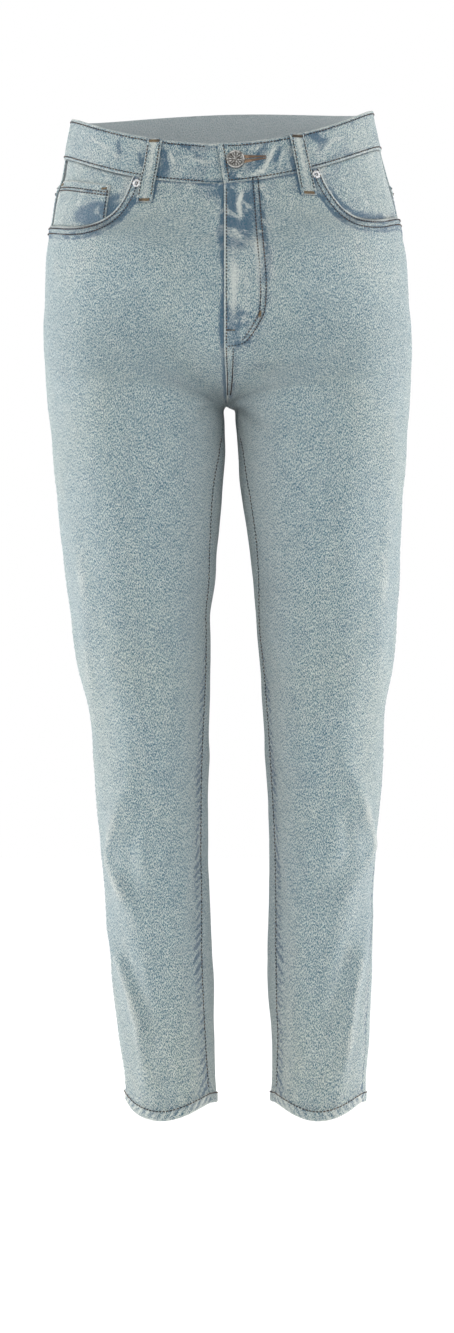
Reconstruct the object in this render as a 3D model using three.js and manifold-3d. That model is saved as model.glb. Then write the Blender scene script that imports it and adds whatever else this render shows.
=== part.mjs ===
// Straight five-pocket jeans, filled out as they are worn, every piece a thin wall of cloth.
// Millimetres. +Z is up, -Y is the front and +X is the wearer's left.
// The origin is the middle of the waistband ring, where the jeans are held up.
import * as THREE from 'three';
import { mergeVertices } from 'three/addons/utils/BufferGeometryUtils.js';
import Module from 'manifold-3d';

// Driving sizes
const CLOTH = 1.1;
const SEAM_PULL = 0.18;
const WAISTBAND_HEIGHT = 38;
const WAISTBAND_WALL = 2.4;
const WAISTBAND_PROUD = 0.6;
const HEM_HEIGHT = 12;
const HEM_EXTRA = 1.3;
const HEM_Z = -914;
const CROTCH_Z = -254;
const CENTRE_TOP_Z = -55;
const POCKET_CORNER_V = -125;
const FRONT_CURVE = 85;
const BACK_CURVE = 120;
const RIGHT = -1;
const LEFT = 1;

// Outer silhouettes: height, then x of the wearer's right side and left side.
const SILHOUETTE = [
  { z: 36, right: -143, left: 141 },
  { z: 20, right: -144.4, left: 142 },
  { z: -14, right: -150.6, left: 149.7 },
  { z: -36.6, right: -153.9, left: 155.3 },
  { z: -56, right: -160.3, left: 161 },
  { z: -85, right: -165.1, left: 167.7 },
  { z: -116, right: -169.1, left: 173.5 },
  { z: -154, right: -170.1, left: 175.6 },
  { z: -178, right: -171.7, left: 178 },
  { z: -202, right: -171, left: 178.6 },
  { z: -250, right: -167.9, left: 176.7 },
  { z: -299, right: -162.5, left: 173.2 },
  { z: -348, right: -158.1, left: 169.5 },
  { z: -396, right: -152.8, left: 167.2 },
  { z: -420, right: -149.6, left: 166.3 },
  { z: -457, right: -145.5, left: 164.6 },
  { z: -505, right: -138.1, left: 159.8 },
  { z: -538, right: -129.6, left: 153.6 },
  { z: -568, right: -124.5, left: 151.3 },
  { z: -600, right: -123.1, left: 150.6 },
  { z: -633, right: -121.1, left: 148.2 },
  { z: -669, right: -117.4, left: 144.4 },
  { z: -692, right: -115.5, left: 143.3 },
  { z: -724, right: -113.2, left: 142.1 },
  { z: -771, right: -108.8, left: 141.6 },
  { z: -812, right: -105.2, left: 140 },
  { z: -862, right: -98.8, left: 137.8 },
  { z: -890, right: -94.5, left: 135.4 },
  { z: -914, right: -92.8, left: 134.4 },
];

// Inner silhouettes of the two legs, from the crotch down.
const INNER = [
  { z: -254, right: 2.5, left: 2.5 },
  { z: -255.2, right: 0.6, left: 8 },
  { z: -259, right: -0.6, left: 10.9 },
  { z: -275, right: 0.2, left: 12 },
  { z: -299, right: 1.4, left: 13.3 },
  { z: -324, right: -1, left: 14.9 },
  { z: -348, right: -2.6, left: 18.1 },
  { z: -372, right: -4.5, left: 21.7 },
  { z: -396, right: -6.9, left: 24.7 },
  { z: -420, right: -8.6, left: 28 },
  { z: -457, right: -12.9, left: 30.2 },
  { z: -505, right: -12.9, left: 34.6 },
  { z: -538, right: -13.8, left: 36.6 },
  { z: -568, right: -14.5, left: 38.5 },
  { z: -633, right: -15, left: 41.8 },
  { z: -669, right: -15.2, left: 43 },
  { z: -724, right: -13.3, left: 42.7 },
  { z: -771, right: -11.4, left: 41.3 },
  { z: -812, right: -9.6, left: 42 },
  { z: -862, right: -9, left: 45.6 },
  { z: -890, right: -8.2, left: 45.6 },
  { z: -914, right: -7.3, left: 45.1 },
];

// Depths of the body of the jeans above the crotch: y of the front and of the back.
const HIP_DEPTH = [
  { z: 36, front: -92, back: 97, square: 2.1 },
  { z: -16, front: -96, back: 101, square: 2.12 },
  { z: -55, front: -102, back: 108, square: 2.18 },
  { z: -100, front: -109, back: 119, square: 2.25 },
  { z: -150, front: -112, back: 128, square: 2.3 },
  { z: -200, front: -111, back: 129, square: 2.3 },
  { z: -255, front: -105, back: 121, square: 2.3 },
];

// Depths of a leg and how square its outline is.
const LEG_DEPTH = [
  { z: -254, front: -103, back: 113, square: 2.2 },
  { z: -275, front: -100, back: 109, square: 2.2 },
  { z: -300, front: -98, back: 105, square: 2.2 },
  { z: -350, front: -93, back: 98, square: 2.15 },
  { z: -400, front: -88, back: 93, square: 2.1 },
  { z: -457, front: -83, back: 88, square: 2.1 },
  { z: -537, front: -75, back: 80, square: 2.1 },
  { z: -600, front: -70, back: 76, square: 2.1 },
  { z: -669, front: -65, back: 74, square: 2.1 },
  { z: -724, front: -61, back: 73, square: 2.1 },
  { z: -771, front: -57, back: 72, square: 2.1 },
  { z: -819, front: -53, back: 69, square: 2.1 },
  { z: -862, front: -49, back: 65, square: 2.1 },
  { z: -914, front: -45, back: 61, square: 2.1 },
];

// How far round to the front each leg's inseam lies, in degrees.
const INSEAM = [
  { z: -254, right: 0, left: 0 },
  { z: -275, right: 12, left: 12 },
  { z: -300, right: 24, left: 22 },
  { z: -350, right: 29, left: 27 },
  { z: -382, right: 27, left: 27 },
  { z: -430, right: 23, left: 21 },
  { z: -477, right: 21, left: 17.5 },
  { z: -548, right: 25, left: 22 },
  { z: -600, right: 28.5, left: 23 },
  { z: -700, right: 31, left: 28 },
  { z: -800, right: 38, left: 33 },
  { z: -862, right: 35, left: 28 },
  { z: -914, right: 32, left: 24 },
];

// How far round to the front each leg's side seam lies, in degrees.
const OUTSEAM = [
  { z: -254, right: 0, left: 0 },
  { z: -350, right: 2, left: 3 },
  { z: -600, right: 4, left: 8 },
  { z: -669, right: 5, left: 12 },
  { z: -724, right: 5, left: 16 },
  { z: -800, right: 5, left: 22 },
  { z: -862, right: 5, left: 26 },
  { z: -914, right: 5, left: 27 },
];

// Length of cloth round one side, from inseam or centre front to inseam or centre back.
const GIRTH = [
  { z: 20, round: 378 },
  { z: -100, round: 440 },
  { z: -200, round: 468 },
  { z: -260, round: 560 },
  { z: -400, round: 500 },
  { z: -600, round: 405 },
  { z: -914, round: 302 },
];

// Folds and fullness: side, height out of the cloth, half-width, and a path of share round and height.
const FOLDS = [
  {
    side: RIGHT, rise: 3, wide: 16,
    path: [[0.377, -348], [0.371, -418], [0.372, -465], [0.408, -535], [0.454, -583]],
  },
  {
    side: RIGHT, rise: 5, wide: 11,
    path: [[0.286, -614], [0.357, -650], [0.393, -674], [0.399, -686], [0.338, -718], [0.3, -732]],
  },
  { side: RIGHT, rise: -3, wide: 12, path: [[0.22, -630], [0.3, -672], [0.3, -700], [0.25, -722]] },
  {
    side: RIGHT, rise: 4.5, wide: 11,
    path: [[0.465, -751], [0.382, -780], [0.338, -808], [0.309, -838], [0.318, -893]],
  },
  { side: RIGHT, rise: -3, wide: 12, path: [[0.36, -760], [0.28, -810], [0.25, -860]] },
  { side: RIGHT, rise: -4, wide: 7, path: [[0.027, -251], [0.083, -256], [0.118, -265]] },
  { side: RIGHT, rise: -2, wide: 9, path: [[0.211, -224], [0.149, -232], [0.044, -238]] },
  {
    side: LEFT, rise: 3, wide: 18,
    path: [[0.38, -253], [0.375, -327], [0.374, -402], [0.375, -477], [0.398, -552]],
  },
  {
    side: LEFT, rise: 5, wide: 11,
    path: [[0.292, -598], [0.357, -626], [0.404, -650], [0.445, -670], [0.418, -686], [0.318, -718]],
  },
  { side: LEFT, rise: -3, wide: 12, path: [[0.22, -615], [0.3, -645], [0.32, -680], [0.25, -710]] },
  {
    side: LEFT, rise: 4.5, wide: 11,
    path: [[0.454, -741], [0.404, -780], [0.381, -815], [0.367, -862], [0.359, -892]],
  },
  { side: LEFT, rise: -3, wide: 12, path: [[0.36, -745], [0.31, -800], [0.28, -860]] },
  { side: LEFT, rise: -4, wide: 7, path: [[0.031, -256], [0.07, -269], [0.106, -277]] },
  { side: LEFT, rise: -2, wide: 9, path: [[0.049, -228], [0.184, -222], [0.249, -220]] },
  { side: RIGHT, rise: 5, wide: 62, path: [[0.8, -150], [0.79, -190], [0.78, -225]] },
  { side: LEFT, rise: 5, wide: 62, path: [[0.8, -150], [0.79, -190], [0.78, -225]] },
  { side: RIGHT, rise: 4, wide: 15, path: [[0.95, -262], [0.82, -280], [0.66, -268]] },
  { side: LEFT, rise: 4, wide: 15, path: [[0.95, -262], [0.82, -280], [0.66, -268]] },
  { side: RIGHT, rise: 4, wide: 15, path: [[0.62, -560], [0.76, -600], [0.9, -585]] },
  { side: LEFT, rise: 4, wide: 15, path: [[0.62, -570], [0.76, -605], [0.9, -580]] },
  { side: RIGHT, rise: 4, wide: 15, path: [[0.6, -660], [0.74, -690], [0.88, -670]] },
  { side: LEFT, rise: 4, wide: 15, path: [[0.6, -650], [0.74, -685], [0.88, -675]] },
];

// Where the front panel's slanted rows end: centre height, then side-seam height.
const FRONT_LINES = [
  { z: -125, side: -84 },
  { z: -150, side: -101 },
  { z: -175, side: -118 },
  { z: -199, side: -135 },
  { z: -219, side: -152 },
  { z: -234, side: -170 },
  { z: -247, side: -190 },
  { z: -252, side: -208 },
  { z: -254, side: -226 },
  { z: -259, side: -242 },
  { z: -265, side: -258 },
  { z: -275, side: -275 },
  { z: -914, side: -914 },
];
const BACK_LINES = [
  { z: -70, side: -54 },
  { z: -92, side: -69 },
  { z: -115, side: -84 },
  { z: -140, side: -101 },
  { z: -165, side: -118 },
  { z: -190, side: -135 },
  { z: -213, side: -152 },
  { z: -230, side: -170 },
  { z: -245, side: -190 },
  { z: -251.5, side: -208 },
  { z: -254, side: -226 },
  { z: -259, side: -242 },
  { z: -265, side: -258 },
  { z: -275, side: -275 },
  { z: -914, side: -914 },
];

// Front pocket mouths, from the side seam up to the waist seam: t is part of the way, then each side's share
// round and its drop below the waist seam.
const MOUTH = [
  { t: 0, right: 0.5, rightDrop: 63.5, left: 0.5, leftDrop: 64 },
  { t: 0.082, right: 0.475, rightDrop: 63.5, left: 0.47, leftDrop: 64 },
  { t: 0.2, right: 0.415, rightDrop: 62.8, left: 0.41, leftDrop: 64 },
  { t: 0.347, right: 0.338, rightDrop: 60.5, left: 0.342, leftDrop: 63.4 },
  { t: 0.493, right: 0.283, rightDrop: 56.1, left: 0.292, leftDrop: 60.1 },
  { t: 0.618, right: 0.241, rightDrop: 48.8, left: 0.253, leftDrop: 54 },
  { t: 0.715, right: 0.212, rightDrop: 39.3, left: 0.226, leftDrop: 44 },
  { t: 0.806, right: 0.193, rightDrop: 27, left: 0.208, leftDrop: 31 },
  { t: 0.895, right: 0.182, rightDrop: 13.6, left: 0.195, leftDrop: 17 },
  { t: 1, right: 0.176, rightDrop: 0, left: 0.187, leftDrop: 0 },
];

const LEG_ROWS = [
  -914, -902, -884, -862, -838, -814, -792, -771, -750, -728, -707, -688, -669, -650, -632, -614, -596, -577,
  -557, -536, -513, -488, -462, -436, -410, -385, -361, -338, -316, -295, -275, -265, -259, -255.2, -254,
];
const FRONT_ROWS = [
  ...LEG_ROWS, -252, -247, -237, -225, -211, -198, -184, -170, -154, -139,
  -125, -120.5, -116, -111, -105, -98, -91, -84, -77, -70, -62.5, CENTRE_TOP_Z,
];
const BACK_ROWS = [...LEG_ROWS, -251.5, -245, -232, -213, -190, -165, -140, -115, -92, -70];
const ACROSS = 12;

const lerp = (a, b, t) => a + (b - a) * t;
const clamp = (v, low, high) => Math.min(high, Math.max(low, v));
const steps = (count) => Array.from({ length: count + 1 }, (_, i) => i / count);

function smooth(low, high, v) {
  const t = clamp((v - low) / (high - low), 0, 1);
  return t * t * (3 - 2 * t);
}

// Reads one column of a table smoothly, without overshoot, by the table's key column.
function read(table, column, at, key = 'z') {
  const last = table.length - 1;
  const turn = Math.sign(table[last][key] - table[0][key]);
  const along = at * turn;
  if (along <= table[0][key] * turn) return table[0][column];
  if (along >= table[last][key] * turn) return table[last][column];
  let i = 0;
  while (along > table[i + 1][key] * turn) i += 1;
  const slope = (k) => (table[k + 1][column] - table[k][column]) / (table[k + 1][key] - table[k][key]);
  const tangent = (k) => {
    if (k === 0) return slope(0);
    if (k === last) return slope(last - 1);
    const before = slope(k - 1);
    const after = slope(k);
    return before * after <= 0 ? 0 : (2 * before * after) / (before + after);
  };
  const span = table[i + 1][key] - table[i][key];
  const t = (at - table[i][key]) / span;
  const a = table[i][column];
  const b = table[i + 1][column];
  return (1 + 2 * t) * (1 - t) ** 2 * a + t * (1 - t) ** 2 * span * tangent(i)
    + t * t * (3 - 2 * t) * b + t * t * (t - 1) * span * tangent(i + 1);
}

const column = (side) => (side < 0 ? 'right' : 'left');
const centreX = (z) => 2.5 * smooth(-200, CROTCH_Z, z);

// A rounded-square outline of half-width a and half-depth b at an angle.
function outline(angle, a, b, square) {
  const c = Math.cos(angle);
  const q = Math.sin(angle);
  const k = (Math.abs(c) ** square + Math.abs(q) ** square) ** (-1 / square);
  return [a * c * k, b * q * k];
}

// Level section of one leg. share runs from the inseam at 0, over the front to the side seam at 0.5, to 1.
function legSection(side, share, z) {
  const low = Math.min(z, CROTCH_Z);
  const outer = read(SILHOUETTE, column(side), z);
  const inner = z > CROTCH_Z ? centreX(z) : read(INNER, column(side), z);
  const front = read(LEG_DEPTH, 'front', low);
  const back = read(LEG_DEPTH, 'back', low);
  const start = THREE.MathUtils.degToRad(read(INSEAM, column(side), low));
  const half = Math.PI - THREE.MathUtils.degToRad(read(OUTSEAM, column(side), low));
  const toFront = lerp(start, half, share / 0.5);
  const toBack = lerp(half, 2 * Math.PI + start, share / 0.5 - 1);
  const angle = share < 0.5 ? toFront : toBack;
  const centre = [(outer + inner) / 2, (front + back) / 2];
  const [dx, dy] = outline(angle, (outer - inner) / 2, (back - front) / 2, read(LEG_DEPTH, 'square', low));
  return { point: [centre[0] - dx, centre[1] - dy], centre };
}

// Level section of one side of the hips, from centre front at 0 to centre back at 1.
function hipSection(side, share, z) {
  const middle = centreX(z);
  const front = read(HIP_DEPTH, 'front', z);
  const back = read(HIP_DEPTH, 'back', z);
  const centre = [middle, (front + back) / 2];
  const half = read(SILHOUETTE, column(side), z) - middle;
  const [dy, dx] = outline(Math.PI * share, (back - front) / 2, half, read(HIP_DEPTH, 'square', z));
  return { point: [middle + dx, centre[1] - dy], centre };
}

// How far the section has become a hip section: quickly near the centre seam, slowly elsewhere.
function hipPart(share, z) {
  const up = z - CROTCH_Z;
  if (up <= 0) return 0;
  const reach = lerp(FRONT_CURVE, BACK_CURVE, smooth(0.3, 0.7, share));
  const quick = Math.sqrt(1 - (1 - clamp(up / reach, 0, 1)) ** 2);
  const slow = smooth(0, 130, up);
  const near = share < 0.25 || share > 0.75 ? Math.cos(2 * Math.PI * share) ** 2 : 0;
  return lerp(slow, quick, near);
}

// Height of all folds of a side at a place on it.
function foldHeight(side, share, z) {
  const round = read(GIRTH, 'round', z);
  let sum = 0;
  for (const fold of FOLDS) {
    if (fold.side !== side) continue;
    const reach = 3 * Math.abs(fold.wide);
    const top = Math.max(...fold.path.map((p) => p[1]));
    const bottom = Math.min(...fold.path.map((p) => p[1]));
    if (z > top + reach || z < bottom - reach) continue;
    let nearest = Infinity;
    let where = 0;
    for (let i = 0; i + 1 < fold.path.length; i += 1) {
      const [s0, z0] = fold.path[i];
      const [s1, z1] = fold.path[i + 1];
      const ax = (share - s0) * round;
      const az = z - z0;
      const bx = (s1 - s0) * round;
      const bz = z1 - z0;
      const t = clamp((ax * bx + az * bz) / (bx * bx + bz * bz), 0, 1);
      const away = Math.hypot(ax - t * bx, az - t * bz);
      if (away < nearest) {
        nearest = away;
        where = (i + t) / (fold.path.length - 1);
      }
    }
    const fade = smooth(0, 0.3, where) * smooth(0, 0.3, 1 - where);
    sum += fold.rise * lerp(0.35, 1, fade) * Math.exp(-((nearest / fold.wide) ** 2));
  }
  return sum * smooth(0, 0.03, Math.min(share, 1 - share));
}

// The outer skin of the jeans. A share below 0 or above 1 runs on over the centre line or the inseam.
function skin(side, share, z) {
  if (share < 0) return z > CROTCH_Z ? skin(-side, -share, z) : skin(side, share + 1, z);
  if (share > 1) return z > CROTCH_Z ? skin(-side, 2 - share, z) : skin(side, share - 1, z);
  const part = hipPart(share, z);
  const soften = 0.07 * part;
  const fromSeam = share < 0.5 ? share : 1 - share;
  const eased = (0.5 * (Math.hypot(fromSeam, soften) - soften)) / (Math.hypot(0.5, soften) - soften);
  const leg = legSection(side, share < 0.5 ? eased : 1 - eased, z);
  const hip = part > 0 ? hipSection(side, share, z) : leg;
  const x = lerp(leg.point[0], hip.point[0], part);
  const y = lerp(leg.point[1], hip.point[1], part);
  let outX = x - lerp(leg.centre[0], hip.centre[0], part);
  const outY = y - lerp(leg.centre[1], hip.centre[1], part);
  const length = Math.hypot(outX, outY);
  if (z > CROTCH_Z) outX *= smooth(0, 0.04, fromSeam);
  const rise = foldHeight(side, share, z) / length;
  return new THREE.Vector3(x + outX * rise, y + outY * rise, z);
}

// Direction straight out of the cloth.
function outward(side, share, z) {
  const atSeam = share < 0.0005 || share > 0.9995;
  if (atSeam && Math.abs(z - CROTCH_Z) < 0.01) return new THREE.Vector3(0, 0, -1);
  const across = skin(side, share + 0.004, z).sub(skin(side, share - 0.004, z));
  const up = skin(side, share, z + 1).sub(skin(side, share, z - 1));
  const normal = across.cross(up).normalize();
  return side > 0 ? normal : normal.negate();
}

function waistTop(side, share) {
  const rise = share < 0.5
    ? -17 + (38.6 * (1 - Math.cos(2 * Math.PI * share))) / 2
    : 21.6 + (14.4 * (1 - Math.cos(2 * Math.PI * (share - 0.5)))) / 2;
  return rise + 0.028 * 143 * side * Math.sin(Math.PI * clamp(share, 0, 1));
}

function bandHeight(side, share) {
  const slimmer = side === LEFT && share < 0.5 ? 3.3 * Math.sin(2 * Math.PI * share) : 0;
  return WAISTBAND_HEIGHT - slimmer;
}

const waistSeam = (side, share) => waistTop(side, share) - bandHeight(side, share);
const yokeSeam = (share) => lerp(-54, -70, (share - 0.5) / 0.5);

// The hem dips in front and a little behind.
function hemDip(share, v) {
  const low = clamp((-760 - v) / 154, 0, 1) ** 2;
  return low * (share < 0.5 ? 14.7 : 8) * Math.abs(Math.sin(2 * Math.PI * share)) ** 1.5;
}

// The pocket mouth's edge at a part of its way: share round and height.
function mouthPlace(side, t) {
  const share = read(MOUTH, column(side), t, 't');
  return [share, waistSeam(side, share) - read(MOUTH, `${column(side)}Drop`, t, 't')];
}

// Where a point of the front panel lies: v is its row's height at the inner edge, a how far across it is.
function frontPlace(side, v, a) {
  const t = clamp((v - POCKET_CORNER_V) / (CENTRE_TOP_Z - POCKET_CORNER_V), 0, 1);
  if (t === 0) {
    const share = 0.5 * a;
    return { share, z: lerp(v, read(FRONT_LINES, 'side', v), a) - hemDip(share, v) };
  }
  const [edge, edgeZ] = mouthPlace(side, t);
  const corner = read(FRONT_LINES, 'side', POCKET_CORNER_V);
  const outerZ = lerp(corner, edgeZ, smooth(0, 0.2, t));
  const share = a * edge;
  const straight = lerp(v, outerZ, a);
  const topLine = waistSeam(side, share) - lerp(CENTRE_TOP_Z, waistSeam(side, edge), a);
  return { share, z: straight + topLine * t * t };
}

function backPlace(side, v, a) {
  const share = 1 - 0.5 * a;
  return { share, z: lerp(v, read(BACK_LINES, 'side', v), a) - hemDip(share, v) };
}

// Moves the edges of a grid of points into the piece, so that pieces sewn together keep a fine gap.
function pullEdges(grid, pull) {
  const rows = grid.length;
  const columns = grid[0].length;
  const moved = grid.map((row) => row.map((p) => p.clone()));
  const draw = (i, j, di, dj) => {
    const way = grid[i + di][j + dj].clone().sub(grid[i][j]);
    moved[i][j].addScaledVector(way, pull / way.length());
  };
  for (let j = 0; j < columns; j += 1) {
    draw(0, j, 1, 0);
    draw(rows - 1, j, -1, 0);
  }
  for (let i = 0; i < rows; i += 1) {
    draw(i, 0, 0, 1);
    draw(i, columns - 1, 0, -1);
  }
  return moved;
}

// One closed thin solid from two grids of points, the outer and the inner face of the cloth.
function wallGeometry([outer, inner]) {
  const rows = outer.length;
  const columns = outer[0].length;
  const points = [...outer.flat(), ...inner.flat()];
  const index = [];
  const at = (layer, i, j) => layer * rows * columns + i * columns + j;
  const quad = (a, b, c, d) => {
    const near = points[a].distanceToSquared(points[c]) <= points[b].distanceToSquared(points[d]);
    index.push(...(near ? [a, b, c, a, c, d] : [a, b, d, b, c, d]));
  };
  for (let i = 0; i + 1 < rows; i += 1) {
    for (let j = 0; j + 1 < columns; j += 1) {
      quad(at(0, i, j), at(0, i, j + 1), at(0, i + 1, j + 1), at(0, i + 1, j));
      quad(at(1, i, j), at(1, i + 1, j), at(1, i + 1, j + 1), at(1, i, j + 1));
    }
    quad(at(0, i, 0), at(0, i + 1, 0), at(1, i + 1, 0), at(1, i, 0));
    quad(at(0, i + 1, columns - 1), at(0, i, columns - 1), at(1, i, columns - 1), at(1, i + 1, columns - 1));
  }
  for (let j = 0; j + 1 < columns; j += 1) {
    quad(at(0, 0, j + 1), at(0, 0, j), at(1, 0, j), at(1, 0, j + 1));
    quad(at(0, rows - 1, j), at(0, rows - 1, j + 1), at(1, rows - 1, j + 1), at(1, rows - 1, j));
  }
  const geometry = new THREE.BufferGeometry();
  geometry.setAttribute('position', new THREE.Float32BufferAttribute(points.flatMap((p) => p.toArray()), 3));
  geometry.setIndex(index);
  return faceOut(geometry);
}

// Turns every face round if the closed mesh is inside out.
function faceOut(geometry) {
  const p = geometry.getAttribute('position');
  const index = Array.from(geometry.index.array);
  const [a, b, c] = [new THREE.Vector3(), new THREE.Vector3(), new THREE.Vector3()];
  let volume = 0;
  for (let i = 0; i < index.length; i += 3) {
    a.fromBufferAttribute(p, index[i]);
    b.fromBufferAttribute(p, index[i + 1]);
    c.fromBufferAttribute(p, index[i + 2]);
    volume += a.dot(b.cross(c)) / 6;
  }
  if (volume < 0) {
    for (let i = 0; i < index.length; i += 3) [index[i + 1], index[i + 2]] = [index[i + 2], index[i + 1]];
    geometry.setIndex(index);
  }
  geometry.computeVertexNormals();
  return geometry;
}

// A thin piece over a grid of places, each { side, share, z, lift, wall }: lift is how far out its face is.
function clothPiece(places, pull = SEAM_PULL) {
  const layer = (depth) => pullEdges(places.map((row) => row.map((q) => {
    const point = skin(q.side, q.share, q.z);
    return point.addScaledVector(outward(q.side, q.share, q.z), q.lift - depth * q.wall);
  })), pull);
  return [layer(0), layer(1)];
}

// Keeps a panel of one side just clear of the centre seam above the crotch.
function clearOfCentre(layers, side) {
  for (const p of layers.flat(2)) {
    if (p.z < CROTCH_Z - 0.5) continue;
    const edge = centreX(p.z) + side * SEAM_PULL;
    p.x = side < 0 ? Math.min(p.x, edge) : Math.max(p.x, edge);
  }
  return layers;
}

const panelWall = (v) => (v < HEM_Z + HEM_HEIGHT + 1 ? CLOTH + HEM_EXTRA : CLOTH);

function frontPanel(side) {
  const places = FRONT_ROWS.map((v) => steps(ACROSS).map((a) => (
    { side, ...frontPlace(side, v, a), lift: 0, wall: panelWall(v) }
  )));
  return wallGeometry(clearOfCentre(clothPiece(places), side));
}

function backPanel(side) {
  const places = BACK_ROWS.map((v) => steps(ACROSS).map((a) => (
    { side, ...backPlace(side, v, a), lift: 0, wall: panelWall(v) }
  )));
  return wallGeometry(clearOfCentre(clothPiece(places), side));
}

function yoke(side) {
  return wallGeometry(clothPiece(steps(3).map((up) => steps(ACROSS).map((a) => {
    const share = 1 - 0.5 * a;
    return { side, share, z: lerp(yokeSeam(share), waistSeam(side, share), up), lift: 0, wall: CLOTH };
  }))));
}

// The waistband runs from its buttonhole end, round by the wearer's left, back and right,
// to the end underneath.
const OVERLAP = 0.0135;
const UNDERLAP = 0.115;
const UNDER_DEPTH = 3.2;

function ringPlace(q) {
  if (q <= 1) return { side: LEFT, share: q };
  if (q <= 2) return { side: RIGHT, share: 2 - q };
  return { side: LEFT, share: q - 2 };
}

function waistband() {
  const stepDown = [1.938, 1.956, 1.974, 1.99, 2.02, 2.05, 2.08, 2 + UNDERLAP];
  const turns = [...steps(64).map((t) => lerp(0.02, 1.92, t)), ...stepDown];
  return wallGeometry(clothPiece(steps(3).map((up) => [lerp(0, -OVERLAP, up), ...turns].map((q) => {
    const place = ringPlace(q);
    const round = Math.abs(place.share);
    const z = waistTop(place.side, round) - bandHeight(place.side, round) * (1 - up);
    const lift = WAISTBAND_PROUD - UNDER_DEPTH * smooth(1.93, 1.975, q);
    return { ...place, z, lift, wall: WAISTBAND_WALL };
  }))));
}

// The cloth behind a front pocket's mouth, from under the front panel to the side seam.
const FACING = { [RIGHT]: { depth: 3.3, wall: 1.05 }, [LEFT]: { depth: 1.75, wall: 1.05 } };
const FACING_FROM = 0.14;
const FACING_TO = 0.497;
const FACING_BELOW = 15;

function pocketFacing(side) {
  return wallGeometry(clothPiece(steps(6).map((up) => steps(10).map((a) => {
    const share = lerp(FACING_FROM, FACING_TO, a);
    const bottom = lerp(-112, -84 - FACING_BELOW, a);
    const z = lerp(bottom, waistSeam(side, share), up);
    return { side, share, z, lift: -FACING[side].depth, wall: FACING[side].wall };
  }))));
}

// The small pocket on the facing of the wearer's right, cut off below by the pocket mouth.
const COIN = { from: 0.225, to: 0.44, wall: 1.05, lift: -1.6 };
const COIN_BELOW = 12;

function coinPocket() {
  return wallGeometry(clothPiece(steps(4).map((up) => steps(6).map((a) => {
    const share = lerp(COIN.from, COIN.to, a);
    const top = waistSeam(RIGHT, share) - lerp(12, 20.5, a);
    const bottom = lerp(-112, -84, (share - FACING_FROM) / (FACING_TO - FACING_FROM)) - COIN_BELOW;
    return { side: RIGHT, share, z: lerp(bottom, top, up), lift: COIN.lift, wall: COIN.wall };
  })), 0.1));
}

// A back pocket lies on its panel, with a point at the bottom.
const BACK_POCKET = { middle: 0.765, top: 136, bottom: 118, drop: 28, side: -204, point: -222 };

function backPocket(side) {
  return wallGeometry(clothPiece(steps(10).map((up) => steps(10).map((a) => {
    const width = lerp(BACK_POCKET.bottom, BACK_POCKET.top, up);
    const share = BACK_POCKET.middle + ((0.5 - a) * width) / 455;
    const top = yokeSeam(share) - BACK_POCKET.drop;
    const bottom = lerp(BACK_POCKET.point, BACK_POCKET.side, Math.abs(2 * a - 1));
    return { side, share, z: lerp(bottom, top, up), lift: 2.3, wall: CLOTH };
  }))));
}

// Belt loops: a strip from the waistband's top edge to below the waist seam, standing off in the middle.
const LOOP = { wide: 11.5, wall: 1.4, below: 22 };
const FRONT_LOOP = { [RIGHT]: { share: 0.1366, lean: 0.0085 }, [LEFT]: { share: 0.1468, lean: 0.0094 } };
const SIDE_LOOP = 0.6;
const LOOP_RISE = [
  { t: 0, lift: 2 },
  { t: 0.12, lift: 2 },
  { t: 0.3, lift: 2.9 },
  { t: 0.5, lift: 4.0 },
  { t: 0.8, lift: 3.9 },
  { t: 1, lift: 2.6 },
];
const LOOP_STEPS = [0, 0.12, 0.25, 0.38, 0.5, 0.65, 0.8, 0.9, 1];

function beltLoop(side, share, lean) {
  return wallGeometry(clothPiece(LOOP_STEPS.map((t) => steps(2).map((a) => {
    const round = read(GIRTH, 'round', 0);
    const here = share + lean * (1 - t) + ((a - 0.5) * LOOP.wide) / round;
    const place = here > 1 ? { side: -side, share: 2 - here } : { side, share: here };
    const bottom = waistSeam(side, share) - LOOP.below;
    const z = lerp(bottom, waistTop(side, share) - 0.5, t);
    return { ...place, z, lift: read(LOOP_RISE, 'lift', t, 't'), wall: LOOP.wall };
  })), 0.02));
}

// The cloth strip behind the closed fly.
function flyShield() {
  return wallGeometry(clothPiece(steps(9).map((up) => steps(3).map((a) => {
    const share = lerp(-0.012, 0.085, a);
    const z = lerp(-186 + 26 * a * a, waistSeam(LEFT, Math.abs(share)) - 1, up);
    return { side: LEFT, share, z, lift: -2.5, wall: CLOTH };
  }))));
}

// Round metal parts, turned about their own axis: pairs of radius and height.
const BUTTON_PROFILE = [
  [0, -1.9], [2.6, -1.9], [2.6, 0.3], [6.2, 0.5], [8.2, 1.3], [8.6, 2.2],
  [8.0, 3.1], [6.9, 3.2], [6.3, 2.6], [3, 2.8], [0, 2.9],
];
const RIVET = { [RIGHT]: 0.1648, [LEFT]: 0.1779 };
const RIVET_DROP = 6.2;
const RIVET_PROFILE = [[0, 0], [4.1, 0], [4.1, 0.5], [3.3, 1.1], [1.9, 1.2], [1.5, 0.8], [0, 0.9]];

function turned(profile, sides) {
  const points = profile.map(([r, h]) => new THREE.Vector2(r, h));
  const geometry = new THREE.LatheGeometry(points, sides);
  geometry.deleteAttribute('uv');
  geometry.deleteAttribute('normal');
  geometry.rotateX(Math.PI / 2);
  return faceOut(mergeVertices(geometry, 1e-4));
}

function mount(mesh, side, share, z, lift) {
  const way = outward(side, share, z);
  mesh.position.copy(skin(side, share, z).addScaledVector(way, lift));
  mesh.quaternion.setFromUnitVectors(new THREE.Vector3(0, 0, 1), way);
  return mesh;
}

// The buttonhole: a round eye with a slit, cut through the top layer of the waistband.
const BUTTON_PLACE = { share: 0.0219, drop: 16.6 };
const EYE = { radius: 3.2, slit: 24.5, half: 0.9, tilt: 6.4 };

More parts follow.
